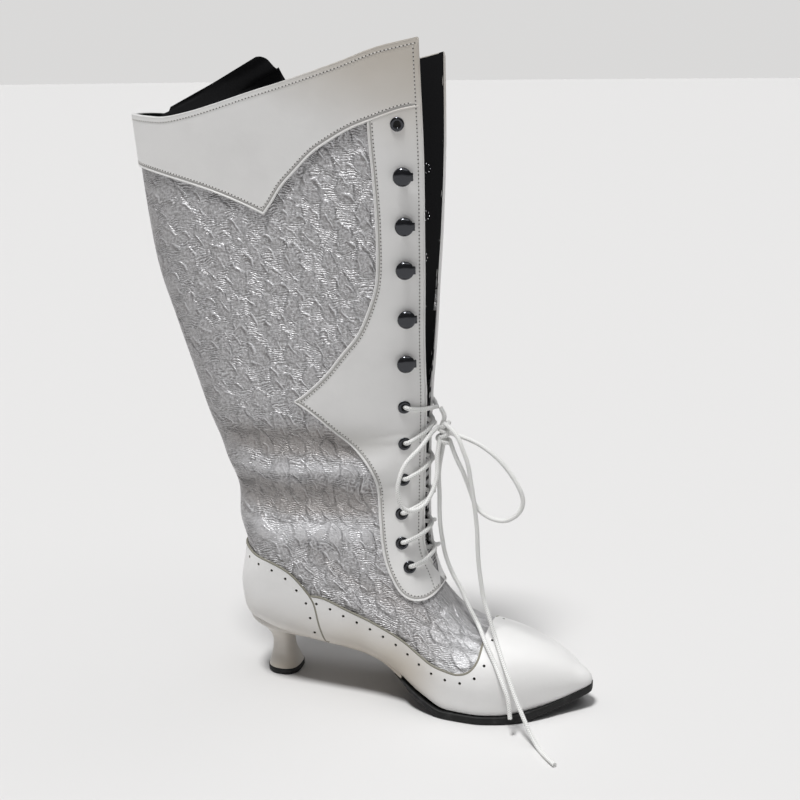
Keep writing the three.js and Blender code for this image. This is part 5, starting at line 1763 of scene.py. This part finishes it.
class BOOT_OT_hooks(bpy.types.Operator):
    """Makes the domed lacing hooks and their clinched backs"""

    bl_idname = "boot.hooks"
    bl_label = "Hooks"

    def execute(self, context):
        r = HOOK_WIDTH / 2
        h = HOOK_HEIGHT
        # Radius and height of the foot, neck and dome
        profile = [(r * 0.62, -0.2 * MM), (r * 0.62, 0.3 * MM), (r * 0.5, 0.7 * MM), (r * 0.36, 1.0 * MM),
                   (r * 0.33, h * 0.3), (r * 0.5, h * 0.4), (r * 0.86, h * 0.44), (r * 0.97, h * 0.5),
                   (r, h * 0.57), (r * 0.97, h * 0.67), (r * 0.89, h * 0.78), (r * 0.76, h * 0.89),
                   (r * 0.58, h * 0.98), (r * 0.36, h * 1.04), (r * 0.14, h * 1.06)]
        # Reach and drop of the lip that holds the lace
        lip = [(0, 0.0), (r * 0.62, 0.0), (r * 0.95, 0.02), (r * 1.12, 0.06)]
        lip_section = ((-1, -1), (-1, 0.6), (-0.8, 1), (0.8, 1), (1, 0.6), (1, -1))
        prong = [(0.05 * MM, 0.5 * MM), (0.4 * MM, 0.3 * MM), (0.5 * MM, 0), (0.4 * MM, -0.3 * MM),
                 (0.05 * MM, -0.5 * MM)]
        for word, x, z, side in lace_places(hooks=True):
            base, axis = place_one(x, z, side, SEAT - 0.2 * MM)
            ahead = np.array([1.0, 0.0, 0.0])
            ahead = unit(ahead - axis * float(ahead @ axis))
            beside_it = np.cross(axis, ahead)
            rings = []
            for reach, drop in lip:
                middle = base + ahead * reach + axis * (h * 0.62 - drop * h)
                rings.append([middle + beside_it * b * r * 0.42 + axis * c * 0.7 * MM
                              for b, c in lip_section])
            shape = merge([closed(turned(profile, 32, base, axis)), closed(rings)])
            add_piece(f"made_hook_{word}", shape, ["Gunmetal"], [f"hook_{word}"], sharp=45)
            back, _ = place_one(x, z, side, -WALL - 0.1 * MM)
            guide = Vector(axis).to_track_quat("Z", "Y").to_matrix()
            prongs = []
            for a in np.arange(8) / 8 * 2 * math.pi:
                spot = np.array(guide @ Vector((3 * MM * math.cos(a), 3 * MM * math.sin(a), 0)))
                prongs.append(closed(turned(prong, 8, back + spot, axis)))
            add_piece(f"hook_back_{word}", merge(prongs), ["Silver rivet"], sharp=80)
        return {"FINISHED"}


class BOOT_OT_lace_crossings(bpy.types.Operator):
    """Runs the lace through the eyelets from side to side and up to the knot"""

    bl_idname = "boot.lace_crossings"
    bl_label = "Lace crossings"

    def execute(self, context):
        top = SEAT + 1.1 * MM + LACE / 2 - 0.1 * MM
        under = -WALL - LACE / 2 - 0.2 * MM
        edge = trace(OPENING_EDGE)
        laced = [(at * FOOT_LENGTH, up * BOOT_HEIGHT) for at, up, _ in LACING[6:]]
        parts = []

        def edge_at(z):
            return float(np.interp(z, edge[:, 1], edge[:, 0]))

        for (x1, z1), (x0, z0) in zip(laced, laced[1:]):
            rise = z1 - z0
            for side in (OUTER, INNER):
                lift = 1.7 * MM if side == OUTER else -1.0 * MM
                z_mid = z0 + 0.5 * rise
                # Out of the lower eyelet, over the front edge, and under the far side's upper eyelet
                points = [
                    place_one(x0, z0, side, -0.5 * MM)[0],
                    place_one(x0 + 1.2 * MM, z0 + 0.05 * rise, side, top)[0],
                    place_one(x0 + 0.45 * (edge_at(z0) - x0) + 1 * MM, z0 + 0.17 * rise, side, top)[0],
                    place_one(edge_at(z0 + 0.33 * rise) - 1.0 * MM, z0 + 0.33 * rise, side, top)[0],
                    np.array([edge_at(z_mid) + 2.2 * MM + lift, 0, z_mid]),
                    place_one(edge_at(z0 + 0.68 * rise) - 1.5 * MM, z0 + 0.68 * rise, -side,
                              under + 1.5 * MM)[0],
                    place_one(0.5 * (x1 + edge_at(z1)), z0 + 0.85 * rise, -side, under)[0],
                    place_one(x1, z1, -side, 0.0)[0],
                ]
                parts.append(spaced(through(points), CORD_STEP))
        x, z = laced[0]
        knot = LACE_KNOT[0]
        tip = np.array([knot[0] * FOOT_LENGTH - 2.4 * MM, 0, knot[2] * BOOT_HEIGHT])
        for side in (OUTER, INNER):
            points = [
                place_one(x, z, side, -0.5 * MM)[0],
                place_one(x + 1.4 * MM, z - 0.2 * MM, side, top)[0],
                place_one(x + 0.5 * (tip[0] - x) - 1 * MM, (z + tip[2]) / 2, side, top)[0],
                tip,
            ]
            parts.append(spaced(through(points), CORD_STEP))
        for number, path in enumerate(parts, start=1):
            add_cord(f"lace_run_{number}", path, ["lace_crossings"] if number == 1 else ())
        return {"FINISHED"}


class BOOT_PT_pieces(bpy.types.Panel):
    """Lists the boot's pieces and their sizes"""

    bl_idname = "BOOT_PT_pieces"
    bl_label = "Boot"
    bl_space_type = "VIEW_3D"
    bl_region_type = "UI"
    bl_category = "Boot"

    def draw(self, context):
        layout = self.layout
        for operator in OPERATORS:
            layout.operator(operator.bl_idname)
        for group in (context.scene.boot_sizes, context.scene.boot_colours):
            box = layout.box()
            for name in group.__annotations__:
                box.prop(group, name)


GROUPS = (BootSizes, BootColours)
OPERATORS = (
    BOOT_OT_stage,
    BOOT_OT_lace_ends,
    BOOT_OT_upper,
    BOOT_OT_cuff,
    BOOT_OT_lace_facing,
    BOOT_OT_counter,
    BOOT_OT_vamp_wing,
    BOOT_OT_tongue,
    BOOT_OT_soles,
    BOOT_OT_eyelets,
    BOOT_OT_hooks,
    BOOT_OT_lace_crossings,
)
CLASSES = (*GROUPS, *OPERATORS, BOOT_PT_pieces)


def register():
    for cls in CLASSES:
        bpy.utils.register_class(cls)
    bpy.types.Scene.boot_sizes = bpy.props.PointerProperty(type=BootSizes)
    bpy.types.Scene.boot_colours = bpy.props.PointerProperty(type=BootColours)


def unregister():
    del bpy.types.Scene.boot_colours
    del bpy.types.Scene.boot_sizes
    for cls in reversed(CLASSES):
        bpy.utils.unregister_class(cls)


def main():
    register()
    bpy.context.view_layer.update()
    for operator in OPERATORS:
        group, name = operator.bl_idname.split(".")
        getattr(getattr(bpy.ops, group), name)()
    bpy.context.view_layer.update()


if __name__ == "__main__":
    main()
